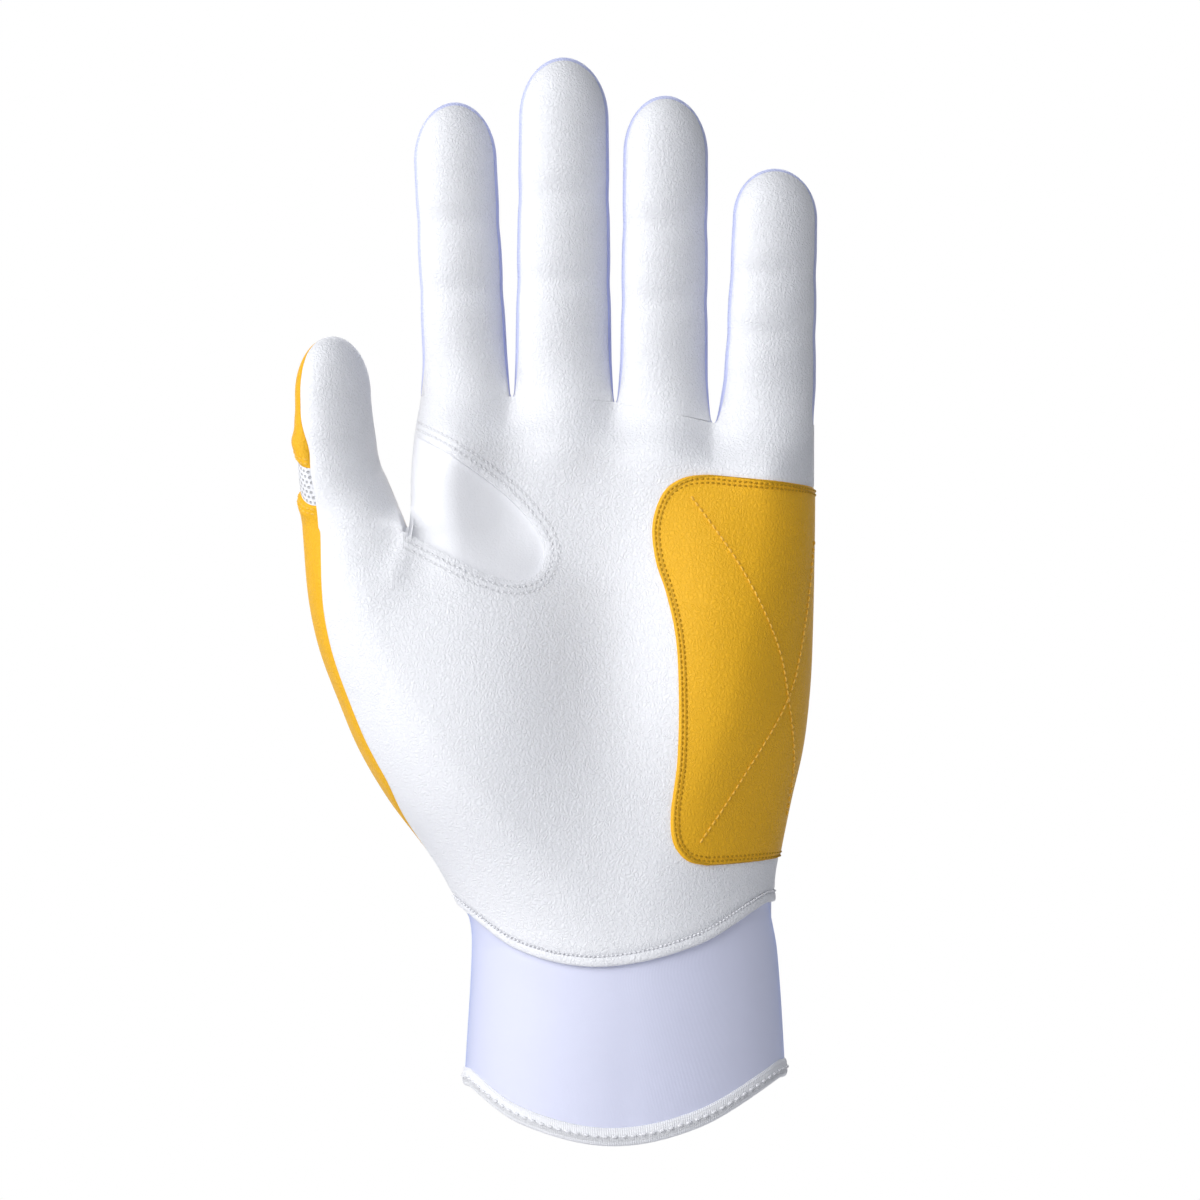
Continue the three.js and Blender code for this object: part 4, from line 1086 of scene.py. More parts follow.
class GLOVE_OT_gusset(bpy.types.Operator):
    """Smooth gusset under the palm's cut-out and the saddle that closes the thumb crotch"""
    bl_idname = "glove.gusset"
    bl_label = "Thumb gusset"

    def execute(self, context):
        k, surface, cells = gusset_surface()
        sunk = -0.15 - 1.2 * ease(1 + 0.5 * SEAM_SHARE, 1 + 2.5 * SEAM_SHARE, k) - 1.2 * ease(0.9, 0.83, k)
        piece = sheet("thumb_gusset_skin", surface, 0.9, lined("smooth_leather"), keep=cells, base=sunk,
                      drop=0.0)
        place(piece, "gusset_leather", ["thumb_gusset"])
        middle = (web_line(CROTCH) - 0.3, 0.4 - THUMB_FORWARD, CROTCH + 0.5)
        web = saddle("thumb_crotch_web", middle, (1.6, THUMB_WEB - 1.3), 2.0, 1.6, lined("smooth_leather"))
        place(web, "gusset_leather")
        return {"FINISHED"}


def patch_surface(inset, turn, columns, rows):
    """Sheet ruled between the patch's curved edge and its straight side, drawn in by an inset. A row's height
    goes evenly with its length round the hand, so that the top and bottom edges run straight."""
    t = even_shares(PATCH_EDGE, rows)[:, None]
    s = np.linspace(0, 1, columns)[None, :]
    edge = spline(PATCH_EDGE, t[:, 0])
    middle = sum(PATCH_SIDE) / 2
    squeeze = 1 - 2 * inset / (PATCH_SIDE[1] - PATCH_SIDE[0])
    left = middle + (edge[:, 1:] - middle) * squeeze
    right = middle + (mix(*PATCH_SIDE, t) - middle) * squeeze
    k = mix(place_of(edge[:, :1] + inset, left), turn, s)
    steps = np.linalg.norm(np.diff(hand(k, left + 0 * s)[0], axis=1), axis=-1)
    length = np.cumsum(np.pad(steps, ((0, 0), (1, 0))), axis=1)
    return hand(k, mix(left, right, length / length[:, -1:]))


def inset_border(surface, inset):
    """Border of the patch from its top corner round the curved edge to its bottom corner, and its straight
    side, both moved inwards in the surface."""
    points, normals = surface
    round_path = np.concatenate([points[-1, :0:-1], points[::-1, 0], points[0, 1:]])
    round_up = np.concatenate([normals[-1, :0:-1], normals[::-1, 0], normals[0, 1:]])
    rows = []
    for path, up in ((round_path, round_up), (points[:, -1], normals[:, -1])):
        inward = np.cross(up, unit(np.gradient(path, axis=0)))
        length = arc_length(path)
        inner = (length > inset + ROW_MARGIN) & (length < length[-1] - inset - ROW_MARGIN)
        rows.append((path + inset * inward, up, inner))
    return [(path[inner], up[inner]) for path, up, inner in rows]


def patch_base(x, rise):
    """Lift of the heel patch: highest at its curved edge, lower where it turns round the hand's side."""
    return mix(rise, PATCH_LOW * rise, ease(*PATCH_FADE, x))


class GLOVE_OT_heel_patch(bpy.types.Operator):
    """Yellow patch on the heel of the hand, its foam, its stitched border and its crossed quilting"""
    bl_idname = "glove.heel_patch"
    bl_label = "Heel patch"

    def execute(self, context):
        sizes = context.scene.glove_sizes
        rise = sizes.patch_rise / MM
        surface = patch_surface(0, PATCH_TURN, 60, 130)
        edge = border_distance(surface[0], ALL_SIDES)
        base = patch_base(surface[0][..., 0], rise)
        piece = sheet("heel_patch_leather", surface, rise + 0.3, lined("patch_leather"), base=base, edge=edge,
                      drop=0.6)
        place(piece, "yellow_leather", ["heel_patch"])
        pad = patch_surface(FOAM_INSET, FOAM_TURN, 24, 44)
        foam = sheet("heel_foam_pad", pad, FOAM_THICK, [finish("foam")] * 2, base=-FOAM_DEPTH,
                     sides=ALL_SIDES, drop=1.0)
        place(foam, "foam", ["heel_foam"])
        rows = [inset_border(surface, inset)[0] for inset in PATCH_ROWS]
        rows.append(inset_border(surface, PATCH_SIDE_ROW)[1])
        rows = [lifted(row, patch_base(row[0][:, 0], rise)[:, None] - 0.06) for row in rows]
        thread = 0.85 * sizes.thread / MM
        border = stitches("heel_patch_border_stitches", rows, finish("border_thread"), PITCH["border"],
                          thread)
        place(border, "yellow_leather")
        quilts = []
        for line in (QUILT_DOWN, QUILT_UP):
            flat = spline(line, even_shares(line, 120))
            quilts.append(lifted(on_palm(flat), patch_base(flat[:, :1], rise) + 0.08))
        quilting = stitches("heel_patch_quilting", quilts, finish("yellow_thread"), PITCH["quilt"], thread)
        place(quilting, "yellow_leather")
        return {"FINISHED"}


def rib_lines(z):
    """x of the five lines between the four ribs of the backhand, which draw together towards the wrist."""
    edges = column_edges(KNUCKLE_SEAM)[1:] + RIBS["margin"] * np.array([1, 0, 0, 0, -1])
    spread = mix(RIBS["narrow"], 1, clamp((z - RIBS["low"]) / (RIBS["high"] - RIBS["low"])))
    return RIBS["middle"] + (edges.reshape((5,) + (1,) * np.ndim(z)) - RIBS["middle"]) * spread


def rib_relief(x, z):
    """Four padded ribs up the back of the hand: rise (1 + cos(pi s)) / 2 across each, faded out at both
    ends."""
    lines = rib_lines(z)
    i = np.clip(np.sum(lines <= x, axis=0) - 1, 0, 3)
    low = np.take_along_axis(lines, i[None], 0)[0]
    high = np.take_along_axis(lines, i[None] + 1, 0)[0]
    pillow = swing(1 - np.minimum(np.abs((2 * x - low - high) / (high - low)), 1))
    ends = ease(RIBS["low"] - 2, RIBS["low"] + 8, z) * (1 - ease(RIBS["high"] - 8, RIBS["high"] + 1, z))
    return RIBS["rise"] * pillow * ends


def backhand_surface():
    """Places and heights of the backhand leather, and the cells that stay above the thumb crotch."""
    lower_rows, upper_rows = 72, 14
    fingers = even_places(LITTLE_SIDE, 9 - SEAM_SHARE, 120, 150)
    thumb = np.linspace(0, 1, 36)
    is_thumb = np.arange(len(fingers) + len(thumb)) >= len(fingers)
    share = np.concatenate([fingers, thumb])
    rows = np.arange(lower_rows + upper_rows + 1)[:, None]
    low = palm_hem(-37) + HEM_BAND
    z = np.where(rows <= lower_rows, mix(low, CROTCH, rows / lower_rows),
                 mix(CROTCH, KNUCKLE_SEAM, (rows - lower_rows) / upper_rows))
    z = np.broadcast_to(z, (len(rows), len(share)))
    k = np.where(is_thumb, mix(9, 10 + thumb_seam(z), share), share)
    keep = np.ones((len(rows) - 1, len(share) - 1), bool)
    keep[lower_rows:, len(fingers) - 1:] = False
    return k, z, keep


class GLOVE_OT_backhand(bpy.types.Operator):
    """Yellow backhand with padded ribs, the mesh band over the knuckles and their stitching"""
    bl_idname = "glove.backhand"
    bl_label = "Backhand"

    def execute(self, context):
        sizes = context.scene.glove_sizes
        k, z, keep = backhand_surface()
        ribs = np.where((k < 9) & (k > 5), rib_relief(skin(k, z)[..., 0], z), 0)
        piece = sheet("backhand_leather", hand(k, z), sizes.leather / MM, lined("yellow_leather"), keep=keep,
                      sides=ALL_SIDES, relief=ribs)
        place(piece, "yellow_leather", ["backhand_panel"])
        across, t = np.meshgrid(np.linspace(LITTLE_SIDE, 9 - SEAM_SHARE, 110), np.linspace(0, 1, 18))
        surface = hand(across, mix(KNUCKLE_SEAM, root_height(10 - across), t))
        band = sheet("knuckle_band_mesh", surface, KNIT, lined("air_mesh"), sides=("left", "right", "bottom"))
        place(band, "knuckle_mesh", ["knuckle_band"])
        top = np.linspace(LITTLE_SIDE + 0.06, 9 - SEAM_SHARE - 0.03, 200)
        rows = [lifted(hand(top, np.full(200, KNUCKLE_SEAM - inset)), -0.04) for inset in BACK_ROWS]
        side = np.linspace(60, KNUCKLE_SEAM - 4, 200)
        rows.append(lifted(hand(np.full(200, LITTLE_SIDE + 0.09), side), -0.04))
        line = np.linspace(RIBS["low"], RIBS["high"], 160)
        for middle in rib_lines(line)[1:4]:
            for x in (middle - RIBS["row"], middle + RIBS["row"]):
                path, normals = hand(10 - place_of(x, line), line)
                rows.append((path + normals * (rib_relief(x, line) - 0.04)[:, None], normals))
        sewing = stitches("backhand_stitches", rows, finish("yellow_thread"), PITCH["backhand"],
                          0.9 * sizes.thread / MM)
        place(sewing, "yellow_leather")
        return {"FINISHED"}


def make_finger(digit, sizes):
    """Front, back, mesh and walls of a finger. The lower pieces run up from the root and the upper ones on
    to the tip; they meet at the foot of the mesh."""
    name, seam, low = digit.name, FINGER_SEAM, digit.mesh_foot
    thick = sizes.leather / MM
    base, end = name + "_base", name + "_end"
    at_root = dict(bodies=("hand", base), heights=(max(digit.roots), max(digit.roots) + 9))
    at_knuckle = dict(bodies=(base, end), heights=(low + 1, digit.knuckle + 5))
    cloth, air, wall = lined("white_leather"), lined("air_mesh"), lined("wall_knit")
    sewn, back = ("left", "right"), (np.pi - seam, np.pi + seam)

    def root(angle):
        return root_height(digit.column + np.arccos(np.clip(-np.sin(angle), -1, 1)) / np.pi)

    surface = strip(digit, (-seam, seam), root, low, 37, 16, 0.16)
    front_lower = sheet(name + "_front_lower_leather", surface, thick, cloth, sides=sewn, drop=0.25)
    bend(front_lower, "white_leather", nodes=[name + "_front_lower"], **at_root)
    surface = strip(digit, back, root, low, 37, 16)
    back_lower = sheet(name + "_back_lower_leather", surface, thick, cloth, sides=ALL_SIDES)
    bend(back_lower, "white_leather", nodes=[name + "_back_lower"], **at_root)
    for side, angles in (("thumb_side", (seam - np.pi, -seam)), ("little_side", (seam, np.pi - seam))):
        surface = strip(digit, angles, root, low, 15, 16)
        lower_wall = sheet(f"{name}_wall_{side}_knit", surface, KNIT, wall, base=-WALL_SINK, sides=sewn,
                           drop=0.3)
        bend(lower_wall, "stretch_wall", nodes=[f"{name}_wall_{side}"], **at_root)
    surface = tongue(digit, (seam, seam), 1, low, 37, 44, 16)
    front_upper = sheet(name + "_front_upper_leather", surface, thick, cloth, sides=("left", "right", "top"),
                        drop=0.25)
    bend(front_upper, "white_leather", nodes=[name + "_front_upper"], **at_knuckle)
    surface = strip(digit, back, low, digit.knuckle, 37, 14)
    mesh = sheet(name + "_knuckle_air_mesh", surface, KNIT, air, sides=ALL_SIDES)
    bend(mesh, "knuckle_mesh", nodes=[name + "_knuckle_mesh"], **at_knuckle)
    surface = tongue(digit, (np.pi - seam, np.pi - seam), -1, digit.knuckle, 37, 34, 16)
    back_upper = sheet(name + "_back_upper_leather", surface, thick, cloth, sides=ALL_SIDES)
    bend(back_upper, "white_leather", nodes=[name + "_back_upper"], **at_knuckle)
    surface = tip_band(digit, seam, low, 44, 44, 15)
    tip_wall = sheet(name + "_wall_upper_knit", surface, KNIT, wall, base=-WALL_SINK, sides=("top", "bottom"),
                     drop=0.3)
    bend(tip_wall, "stretch_wall", nodes=[name + "_wall_upper"], **at_knuckle)


def saddle(name, middle, half, rise, drop, finishes):
    """Small web that closes a crotch: up towards the digits on both sides, down to front and back,
    z = rise s^2 - drop t^2."""
    across, deep = np.meshgrid(np.linspace(-1, 1, 21), np.linspace(-1, 1, 21))
    offset = np.stack([half[0] * across, half[1] * deep, rise * across ** 2 - drop * deep ** 2], -1)
    points = np.array(middle) + offset
    return sheet(name, (points, grid_normals(points)), 0.8, finishes)


class GLOVE_OT_fingers(bpy.types.Operator):
    """Leather fronts and backs, mesh knuckles and knit walls of the four fingers"""
    bl_idname = "glove.fingers"
    bl_label = "Fingers"

    def execute(self, context):
        for digit in FINGERS:
            make_finger(digit, context.scene.glove_sizes)
        for digit in FINGERS[:-1]:
            root = digit.roots[1]
            middle = (column_edges(root)[digit.column + 1], 0, root + 0.1)
            web = saddle(digit.name + "_crotch_web", middle, (1.3, FINGER_WEB - 0.4), 1.7, 0.5,
                         lined("wall_knit"))
            place(web, "stretch_wall")
        return {"FINISHED"}


def back_share(angle):
    """Place across the thumb's back, from 1 at the index side to -1 at the outer seam."""
    return (np.pi - angle) / THUMB_BACK


def mesh_low(p):
    """Lower edge of the thumb's mesh band, which slants down to the outer seam."""
    return THUMB.mesh_foot + MESH_LOW[0] - MESH_LOW[1] * ease(*SLANT_SPAN, p)


def mesh_top(p):
    """Upper edge of the thumb's mesh band."""
    return THUMB.knuckle + MESH_TOP[0] - MESH_TOP[1] * ease(*SLANT_SPAN, p)


def foot_line(angle):
    """Lower edge of the thumb's mesh band at an angle."""
    return mesh_low(back_share(angle))


def head_line(angle):
    """Upper edge of the thumb's mesh band at an angle."""
    return mesh_top(back_share(angle))


def lip(p, away, far, wide, rise):
    """Swelling of the yellow leather beside the mesh band; it fades towards the index side."""
    inner = ease(0.6, -0.2, p) * ease(-1, -0.82, p)
    return inner * (rise * np.exp(-((away - far) / wide) ** 2) + 0.25)


def thumb_side_seam(z):
    """Angle of the seam beside the thumb's front, which nears the outline above the knuckle."""
    return THUMB_SEAM + THUMB_SEAM_RISE * ease(THUMB.knuckle, THUMB.knuckle + 9, z)


def tuck(surface):
    """Dip of the thumb's lower end under the edge of the hand's leather."""
    return -0.4 * (1 - ease(CROTCH - 0.9, CROTCH - 0.1, surface[0][..., 2]))


def make_thumb(sizes):
    """White front and yellow back of the thumb, with the slanting mesh band over its knuckle."""
    digit, seam = THUMB, THUMB_SEAM
    low, thick = digit.mesh_foot, sizes.leather / MM
    seams = (thumb_side_seam, THUMB_TIP_SEAM)
    at_root = dict(bodies=("hand", "thumb_base"), heights=(CROTCH, low))
    at_knuckle = dict(bodies=("thumb_base", "thumb_end"), heights=(low + 1.5, digit.knuckle + 5))
    white, yellow, sewn = lined("white_leather"), lined("yellow_leather"), ("left", "right")
    back = (seam, 2 * np.pi - seam)
    surface = strip(digit, (-seam, seam), CROTCH - ROOT_TUCK, low, 45, 14)
    front_lower = sheet("thumb_front_lower_leather", surface, thick, white, sides=sewn, relief=tuck(surface))
    bend(front_lower, "white_leather", nodes=["thumb_front_lower"], **at_root)
    surface = strip(digit, back, CROTCH - ROOT_TUCK, foot_line, 60, 26)
    p = np.linspace(1, -1, 60)[None, :]
    rise = lip(p, border_distance(surface[0], ("top",)), *LOWER_LIP)
    back_lower = sheet("thumb_back_lower_leather", surface, thick, yellow, sides=("left", "right", "top"),
                       relief=rise * ease(CROTCH, CROTCH + 3, surface[0][..., 2]) + tuck(surface))
    bend(back_lower, "yellow_leather", nodes=["thumb_back_lower"], **at_root)
    front_upper = sheet("thumb_front_upper_leather", tongue(digit, seams, 1, low, 45, 26, 18), thick, white,
                        sides=("left", "right", "top"))
    bend(front_upper, "white_leather", nodes=["thumb_front_upper"], **at_knuckle)
    surface = strip(digit, back, foot_line, head_line, 60, 12)
    mesh = sheet("thumb_knuckle_air_mesh", surface, KNIT, lined("air_mesh"), base=-0.2, sides=sewn)
    bend(mesh, "knuckle_mesh", nodes=["thumb_knuckle_mesh"], **at_knuckle)
    surface = tongue(digit, seams, -1, mesh_top, 61, 30, 24)
    p = np.linspace(-1, 1, 61)[None, :]
    rise = lip(p, border_distance(surface[0], ("bottom",)), *UPPER_LIP)
    back_upper = sheet("thumb_back_upper_leather", surface, thick, yellow,
                       sides=ALL_SIDES,
                       relief=rise * (1 - ease(9, 13, border_distance(surface[0], ("bottom",)))))
    bend(back_upper, "yellow_leather", nodes=["thumb_back_upper"], **at_knuckle)
    angle = np.linspace(seam + 0.5, 2 * np.pi - seam - 0.04, 120)
    share = back_share(angle)
    thread = 0.8 * sizes.thread / MM
    lips = (("lower", mesh_low, -1, LOWER_LIP, at_root), ("upper", mesh_top, 1, UPPER_LIP, at_knuckle))
    for name, edge, turn, form, moves in lips:
        rows = []
        for inset in LIP_ROWS:
            path = digit_skin(digit, around(angle), edge(share) + turn * inset)
            rows.append(lifted(path, (lip(share, inset, *form) - 0.05)[:, None]))
        sewing = stitches(f"thumb_{name}_lip_stitches", rows, finish("yellow_thread"), PITCH["lip"], thread,
                          rise=0.06)
        bend(sewing, "yellow_leather", **moves)


class GLOVE_OT_thumb(bpy.types.Operator):
    """White front, yellow back and mesh band of the thumb"""
    bl_idname = "glove.thumb"
    bl_label = "Thumb"

    def execute(self, context):
        make_thumb(context.scene.glove_sizes)
        return {"FINISHED"}


def cuff_bottom(k):
    """Height of the cuff's lower edge: a dipping curve in front, a straight slope behind."""
    x = skin(k, np.zeros_like(k))[..., 0]
    front = (k >= 0) & (k <= 5)
    behind = mix(cuff_edge(-CUFF_HALF), cuff_edge(CUFF_HALF), clamp((x + CUFF_HALF) / (2 * CUFF_HALF)))
    return np.where(front, cuff_edge(x), behind)


def cuff_lift(z):
    """Lift of the cuff off the hand's outside: under the leather below, flared over the backhand's hem
    above."""
    return mix(*CUFF_LIFTS, ease(*CUFF_FLARE, z))


def cuff_back(slit, side, wing, top, columns):
    """One half of the cuff's back, whose free corner passes behind the palm's edge."""
    t = np.linspace(0, 1, 56)[:, None]
    k = even_places(side, slit, CUFF_FLARE[0], columns)[None, :]
    draw = (wing - side) * (slit - k) / (slit - side)
    length = arc_length(skin(k + draw, np.full(k.shape, top))[0])
    slit_top = mix(top, RADIAL["top"], SLIT_DROP)
    z = mix(cuff_bottom(k) + CUFF_RISE, mix(top, slit_top, length / length[-1]), t)
    freed = ease(CUFF_FLARE[1], CUFF_FLARE[1] + WING["blend"], z)
    inner = ease(0, CUFF_BORDER, np.linspace(0, 1, columns))
    return hand(k + draw * freed, z), mix(CUFF_LIFTS[0], cuff_lift(z), mix(mix(0.5, 1, freed), 1, inner))


def even_places(low, high, z, count):
    """Places from low to high that lie evenly round the hand at a height."""
    k = np.linspace(low, high, 20 * count)
    length = arc_length(skin(k, np.full(k.shape, z)))
    return np.interp(np.linspace(0, length[-1], count), length, k)


class GLOVE_OT_cuff(bpy.types.Operator):
    """Satin cuff in front and behind, its binding and stitching"""
    bl_idname = "glove.cuff"
    bl_label = "Cuff"

    def execute(self, context):
        sizes = context.scene.glove_sizes
        neoprene = sizes.cuff / MM
        satin = lined("cuff_satin")
        low, high = CUFF_SIDES[0] - CUFF_UNDERLAP, CUFF_SIDES[1] + CUFF_UNDERLAP
        across = even_places(low, high, CUFF_FLARE[0], 130)
        s, t = np.meshgrid(across, np.linspace(0, 1, 46))
        front = hand(s, mix(cuff_bottom(s) + CUFF_RISE, hem_height(s) + CUFF_TUCK, t))
        piece = sheet("cuff_front_satin", front, neoprene, satin, base=CUFF_LIFTS[0] - 0.06, sides=("top",))
        place(piece, "cuff_satin", ["cuff_front"])
        halves = [("cuff_back_ulnar", BACK_SLIT[0], CUFF_SIDES[1], WING["side"], WING["top"], 56),
                  ("cuff_back_radial", BACK_SLIT[1], 10 + CUFF_SIDES[0], RADIAL["side"], RADIAL["top"], 60)]
        for name, slit, side, wing, top, columns in halves:
            (points, normals), lift = cuff_back(slit, side, wing, top, columns)
            raised = points + normals * lift[..., None]
            half = sheet(name + "_satin", (raised, normals), CUFF_BACK, satin,
                         sides=("left", "right", "top"), drop=0.5)
            place(half, "cuff_satin", [name])
        k = np.linspace(BACK_SLIT[1] - 10, BACK_SLIT[0], 420)
        bottom = cuff_bottom(k)
        width = sizes.binding / MM
        path, normals = hand(k, bottom + width / 2)
        ups = unit(hand(k, bottom + width)[0] - hand(k, bottom)[0])
        inside = CUFF_LIFTS[0] - neoprene / 2
        band = bead("cuff_binding_tape", path + normals * inside, normals, ups, neoprene / 2 + BINDING_OVER,
                    width / 2, [finish("tape")], power=0.6)
        place(band, "tape", ["cuff_binding"])
        row = (path + normals * (inside + neoprene / 2 + BINDING_OVER), normals)
        sewing = stitches("cuff_binding_stitches", [row], finish("white_thread"), PITCH["binding"],
                          1.25 * sizes.thread / MM, share=0.68, rise=0.05)
        place(sewing, "tape")
        return {"FINISHED"}


def strap_run(k):
    """Length round the wrist from the strap's sewn end to a place."""
    places = np.linspace(*STRAP_SPAN, 600)
    return np.interp(k, places, arc_length(skin(places, np.full(600, STRAP_HEIGHT[0]))))


def strap_base(k):
    """Lift of the strap over the cuff: low at its sewn end, then up a ramp onto the two piles."""
    stack = LOOP_PILE + HOOK_PILE + 2 * LAYER_GAP
    ramp = strap_run(np.array([STRAP_SPAN[0] + 2 * STRAP_RAMP, PILE_SPAN[0] - STRAP_RAMP]))
    run = strap_run(k)
    return stack * ease(*ramp, run) + STRAP - STRAP_SINK * (1 - ease(0, STRAP_SEWN, run))


def closure_surface(span, heights, columns, rows, base):
    """Part of the closure over the cuff's back: raised by the cuff's lift and by a base, which may depend on
    the place."""
    k, z = np.meshgrid(even_places(*span, heights[0], columns), np.linspace(*heights, rows))
    points, normals = hand(k, z)
    lift = cuff_lift(z) + LAYER_GAP + (base(k) if callable(base) else base)
    return points + normals * lift[..., None], normals


class GLOVE_OT_closure(bpy.types.Operator):
    """Strap across the back of the wrist with its hook and loop piles and its stitching"""
    bl_idname = "glove.closure"
    bl_label = "Closure strap"

    def execute(self, context):
        sizes = context.scene.glove_sizes
        surface = closure_surface(STRAP_SPAN, STRAP_HEIGHT, 160, 34, strap_base)
        ends = skin(np.array([STRAP_SPAN[0], STRAP_FOLD]), np.full(2, sum(STRAP_HEIGHT) / 2)) * MM
        strap = sheet("strap_satin", surface, STRAP, [finish("cuff_satin")] * 2, sides=ALL_SIDES, drop=0.7)
        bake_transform(strap)
        name_slot(strap, ["strap"])
        pile = (PILE_SPAN, (STRAP_HEIGHT[0] + PILE_MARGIN, STRAP_HEIGHT[1] - PILE_MARGIN), 40, 26)
        loop = sheet("loop_pile_patch", closure_surface(*pile, LOOP_PILE + 0.4), LOOP_PILE + 0.8,
                     [finish("loop_pile")] * 2, sides=ALL_SIDES, drop=0.35)
        place(loop, "closure_pile", ["loop_patch"])
        hook = sheet("hook_pile_patch", closure_surface(*pile, LOOP_PILE + LAYER_GAP + HOOK_PILE), HOOK_PILE,
                     [finish("hook_pile")] * 2, sides=ALL_SIDES, drop=0.3)
        place(hook, "closure_pile", ["hook_patch"], "closure_strap")
        points, normals = surface
        inset = 3
        inner = slice(inset, -inset)
        cuts = ((inset, inner), (-1 - inset, inner), (inner, inset), (inner, -1 - inset))
        ring = [(points[cut], normals[cut]) for cut in cuts]
        sewing = stitches("strap_stitches", ring, finish("white_thread"), PITCH["strap"], sizes.thread / MM)
        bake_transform(sewing)
        name_slot(sewing, ())
        return {"FINISHED"}


def add_light(name, spot, size, power):
    """Square soft light at a spot, turned to the middle of the glove."""
    data = bpy.data.lights.new(name, "AREA")
    data.size = size
    data.energy = power
    light = bpy.data.objects.new(name, data)
    bpy.context.scene.collection.objects.link(light)
    light.location = np.array(spot) * MM
    direction = (np.array(AIM) - np.array(spot)) * MM
    light.rotation_euler = Vector(direction).to_track_quat("-Z", "Y").to_euler()


def seen_directly(tree):
    """1 for rays that come from the eye, from a gloss or through glass."""
    rays = add(tree, "ShaderNodeLightPath").outputs
    either = maths(tree, "MAXIMUM", rays["Is Camera Ray"], rays["Is Glossy Ray"])
    return maths(tree, "MAXIMUM", either, rays["Is Transmission Ray"])


def make_world(tones, level):
    """White to the eye, a soft pale blue to the glove."""
    world = bpy.data.worlds.new("studio")
    bpy.context.scene.world = world
    world.use_nodes = True
    tree = world.node_tree
    tree.nodes.clear()
    fill = add(tree, "ShaderNodeBackground", {"Color": list(tones.fill) + [1.0], "Strength": level})
    white = add(tree, "ShaderNodeBackground", {"Color": (1, 1, 1, 1), "Strength": 1.0})
    shaders = {0: seen_directly(tree), 1: fill.outputs[0], 2: white.outputs[0]}
    both = add(tree, "ShaderNodeMixShader", shaders)
    out = add(tree, "ShaderNodeOutputWorld")
    tree.links.new(both.outputs[0], out.inputs["Surface"])


def floor_finish():
    """Pale floor that keeps shadows near the glove and goes white to the eye further out."""
    material, tree, shader = start_finish("pale_floor", roughness=0.8, specular_ior_level=0.2)
    spot = add(tree, "ShaderNodeTexCoord").outputs["Object"]
    grain = add(tree, "ShaderNodeTexNoise", {"Vector": spot, "Scale": 40.0, "Detail": 4.0}).outputs["Fac"]
    tone = blended(tree, grain, (0.86, 0.86, 0.87, 1), (0.9, 0.9, 0.91, 1))
    tree.links.new(tone, shader.inputs["Base Color"])
    away = add(tree, "ShaderNodeVectorMath", {0: spot}, operation="LENGTH").outputs["Value"]
    far = maths(tree, "MULTIPLY", ranged(tree, away, 0.2, 0.5), seen_directly(tree))
    glow = add(tree, "ShaderNodeEmission", {"Color": (1, 1, 1, 1), "Strength": 1.0})
    both = add(tree, "ShaderNodeMixShader", {0: far, 1: shader.outputs[0], 2: glow.outputs[0]})
    tree.links.new(both.outputs[0], tree.nodes["Material Output"].inputs["Surface"])
    return material


def make_floor(height):
    """Level square of quads under the glove."""
    side = np.linspace(-FLOOR_HALF, FLOOR_HALF, FLOOR_POINTS)
    x, y = np.meshgrid(side, side)
    points = np.stack([x, y, np.full(x.shape, height)], -1).reshape(-1, 3)
    index = np.arange(x.size).reshape(x.shape)
    quads = np.stack([index[:-1, :-1], index[:-1, 1:], index[1:, 1:], index[1:, :-1]], -1).reshape(-1, 4)
    put_mesh("floor", points, list(quads), [floor_finish()])


def make_camera(scene):
    """Camera square to the palm."""
    data = bpy.data.cameras.new("camera")
    data.lens = CAMERA["lens"]
    data.sensor_width = CAMERA["sensor"]
    data.clip_end = CAMERA["reach"] * MM
    camera = bpy.data.objects.new("camera", data)
    scene.collection.objects.link(camera)
    camera.location = (CAMERA["side"] * MM, -CAMERA["distance"] * MM, CAMERA["height"] * MM)
    camera.rotation_euler = (np.pi / 2, 0, 0)
    scene.camera = camera


class GLOVE_OT_stage(bpy.types.Operator):
    """Pale floor, soft lights, white surroundings and the camera"""
    bl_idname = "glove.stage"
    bl_label = "Stage"

    def execute(self, context):
        stage = context.scene.glove_stage
        context.scene.view_settings.view_transform = "Standard"
        make_world(context.scene.glove_colours, stage.fill)
        make_floor(stage.floor / MM)
        for name, (spot, size) in LIGHTS.items():
            add_light(name, spot, size, getattr(stage, name))
        make_camera(context.scene)
        return {"FINISHED"}


def length(name, description, default):
    """Length shown in the panel; its default is in millimetres."""
    return bpy.props.FloatProperty(
        name=name, description=description, default=default * MM, min=0, precision=5, unit="LENGTH")


def colour(name, description, default):
    """Colour shown in the panel."""
    return bpy.props.FloatVectorProperty(
        name=name, description=description, default=default, size=3, min=0, max=1, subtype="COLOR")


def power(name, description, default):
    """Power of a light, shown in the panel."""
    return bpy.props.FloatProperty(name=name, description=description, default=default, min=0, unit="POWER")


class GloveSizes(bpy.types.PropertyGroup):
    leather: length("Leather", "Thickness of the leather", 1.2)
    grain: length("Grain", "Width of a pebble of the leather", 0.9)
    patch_rise: length("Patch rise", "Height of the heel patch over the palm at its curved edge", 0.7)
    patch_sink: length("Patch sink", "Depth of the palm under the heel patch", 0.5)
    thread: length("Thread", "Radius of the sewing thread", 0.26)
    cuff: length("Cuff", "Thickness of the satin cuff", 1.8)
    binding: length("Binding", "Width of the cuff's binding", 4.3)


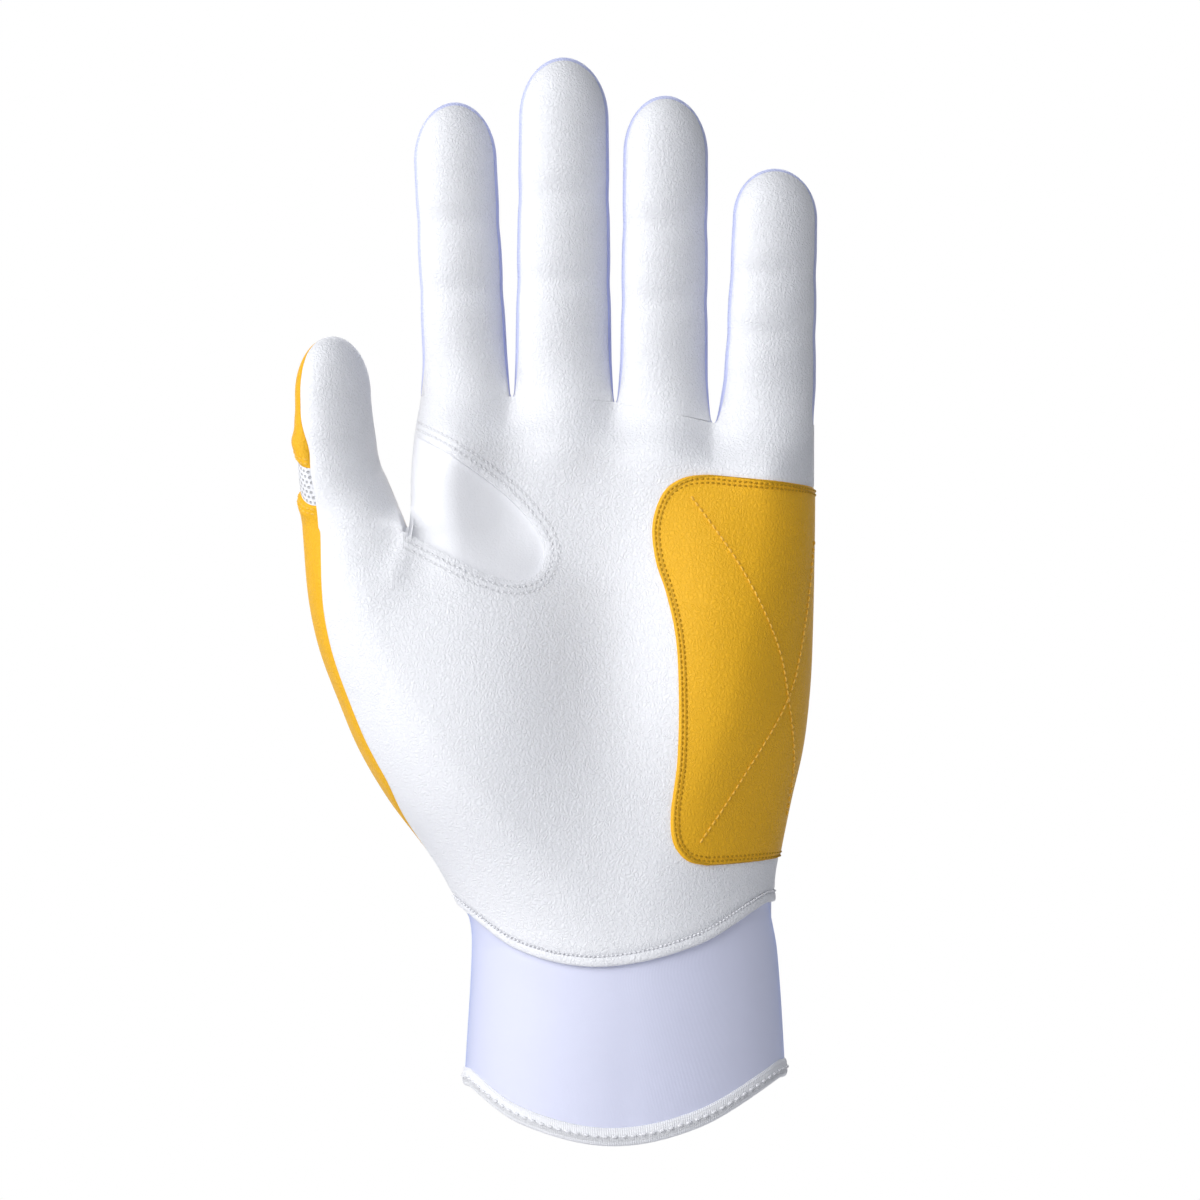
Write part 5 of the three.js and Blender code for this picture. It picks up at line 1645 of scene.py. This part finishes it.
class GloveColours(bpy.types.PropertyGroup):
    white: colour("White", "White leather, mesh and thread", (0.85, 0.855, 0.885))
    yellow: colour("Yellow", "Heel patch, backhand and thumb", (0.86, 0.46, 0.018))
    thread: colour("Yellow thread", "Stitches in the yellow leather", (0.95, 0.55, 0.06))
    # Walls: lavender grey, darker than the white leather, painted as the blue shade on the sideways-facing
    # knit walls
    wall: colour("Walls", "Knit walls of the fingers", (0.62, 0.66, 0.93))
    satin: colour("Cuff", "Satin of the cuff and strap", (0.64, 0.66, 0.83))
    fill: colour("Fill", "Light that comes from all round", (0.80, 0.86, 1.0))


class GloveStage(bpy.types.PropertyGroup):
    key: power("Key", "Power of the light at the left", 16.0)
    front: power("Front", "Power of the light in front", 23.5)
    back: power("Back", "Power of the light behind", 14.0)
    fill: bpy.props.FloatProperty(name="Fill", description="Level of the light from all round", default=0.19)
    floor: bpy.props.FloatProperty(
        name="Floor", description="Height of the floor under the glove", default=-0.06, unit="LENGTH")


OPERATORS = (GLOVE_OT_stage, GLOVE_OT_palm, GLOVE_OT_gusset, GLOVE_OT_heel_patch, GLOVE_OT_backhand,
             GLOVE_OT_fingers, GLOVE_OT_thumb, GLOVE_OT_cuff, GLOVE_OT_closure)
GROUPS = {"glove_sizes": GloveSizes, "glove_colours": GloveColours, "glove_stage": GloveStage}


class GLOVE_PT_panel(bpy.types.Panel):
    """Lists the glove's sizes, colours, lights and makers"""
    bl_label = "Batting Glove"
    bl_idname = "GLOVE_PT_panel"
    bl_space_type = "VIEW_3D"
    bl_region_type = "UI"
    bl_category = "Glove"

    def draw(self, context):
        for name, group in GROUPS.items():
            for key in group.__annotations__:
                self.layout.prop(getattr(context.scene, name), key)
        for operator in OPERATORS:
            self.layout.operator(operator.bl_idname)


def register():
    """Adds the classes and the scene's settings."""
    for cls in (*GROUPS.values(), *OPERATORS, GLOVE_PT_panel):
        bpy.utils.register_class(cls)
    for name, group in GROUPS.items():
        setattr(bpy.types.Scene, name, bpy.props.PointerProperty(type=group))


def unregister():
    """Takes the scene's settings and the classes away again."""
    for name in GROUPS:
        delattr(bpy.types.Scene, name)
    for cls in (GLOVE_PT_panel, *reversed(OPERATORS), *GROUPS.values()):
        bpy.utils.unregister_class(cls)


def main():
    """Dresses the glove piece by piece."""
    register()
    bpy.ops.glove.stage()
    bpy.ops.glove.palm()
    bpy.ops.glove.gusset()
    bpy.ops.glove.heel_patch()
    bpy.ops.glove.backhand()
    bpy.ops.glove.fingers()
    bpy.ops.glove.thumb()
    bpy.ops.glove.cuff()
    bpy.ops.glove.closure()


if __name__ == "__main__":
    main()
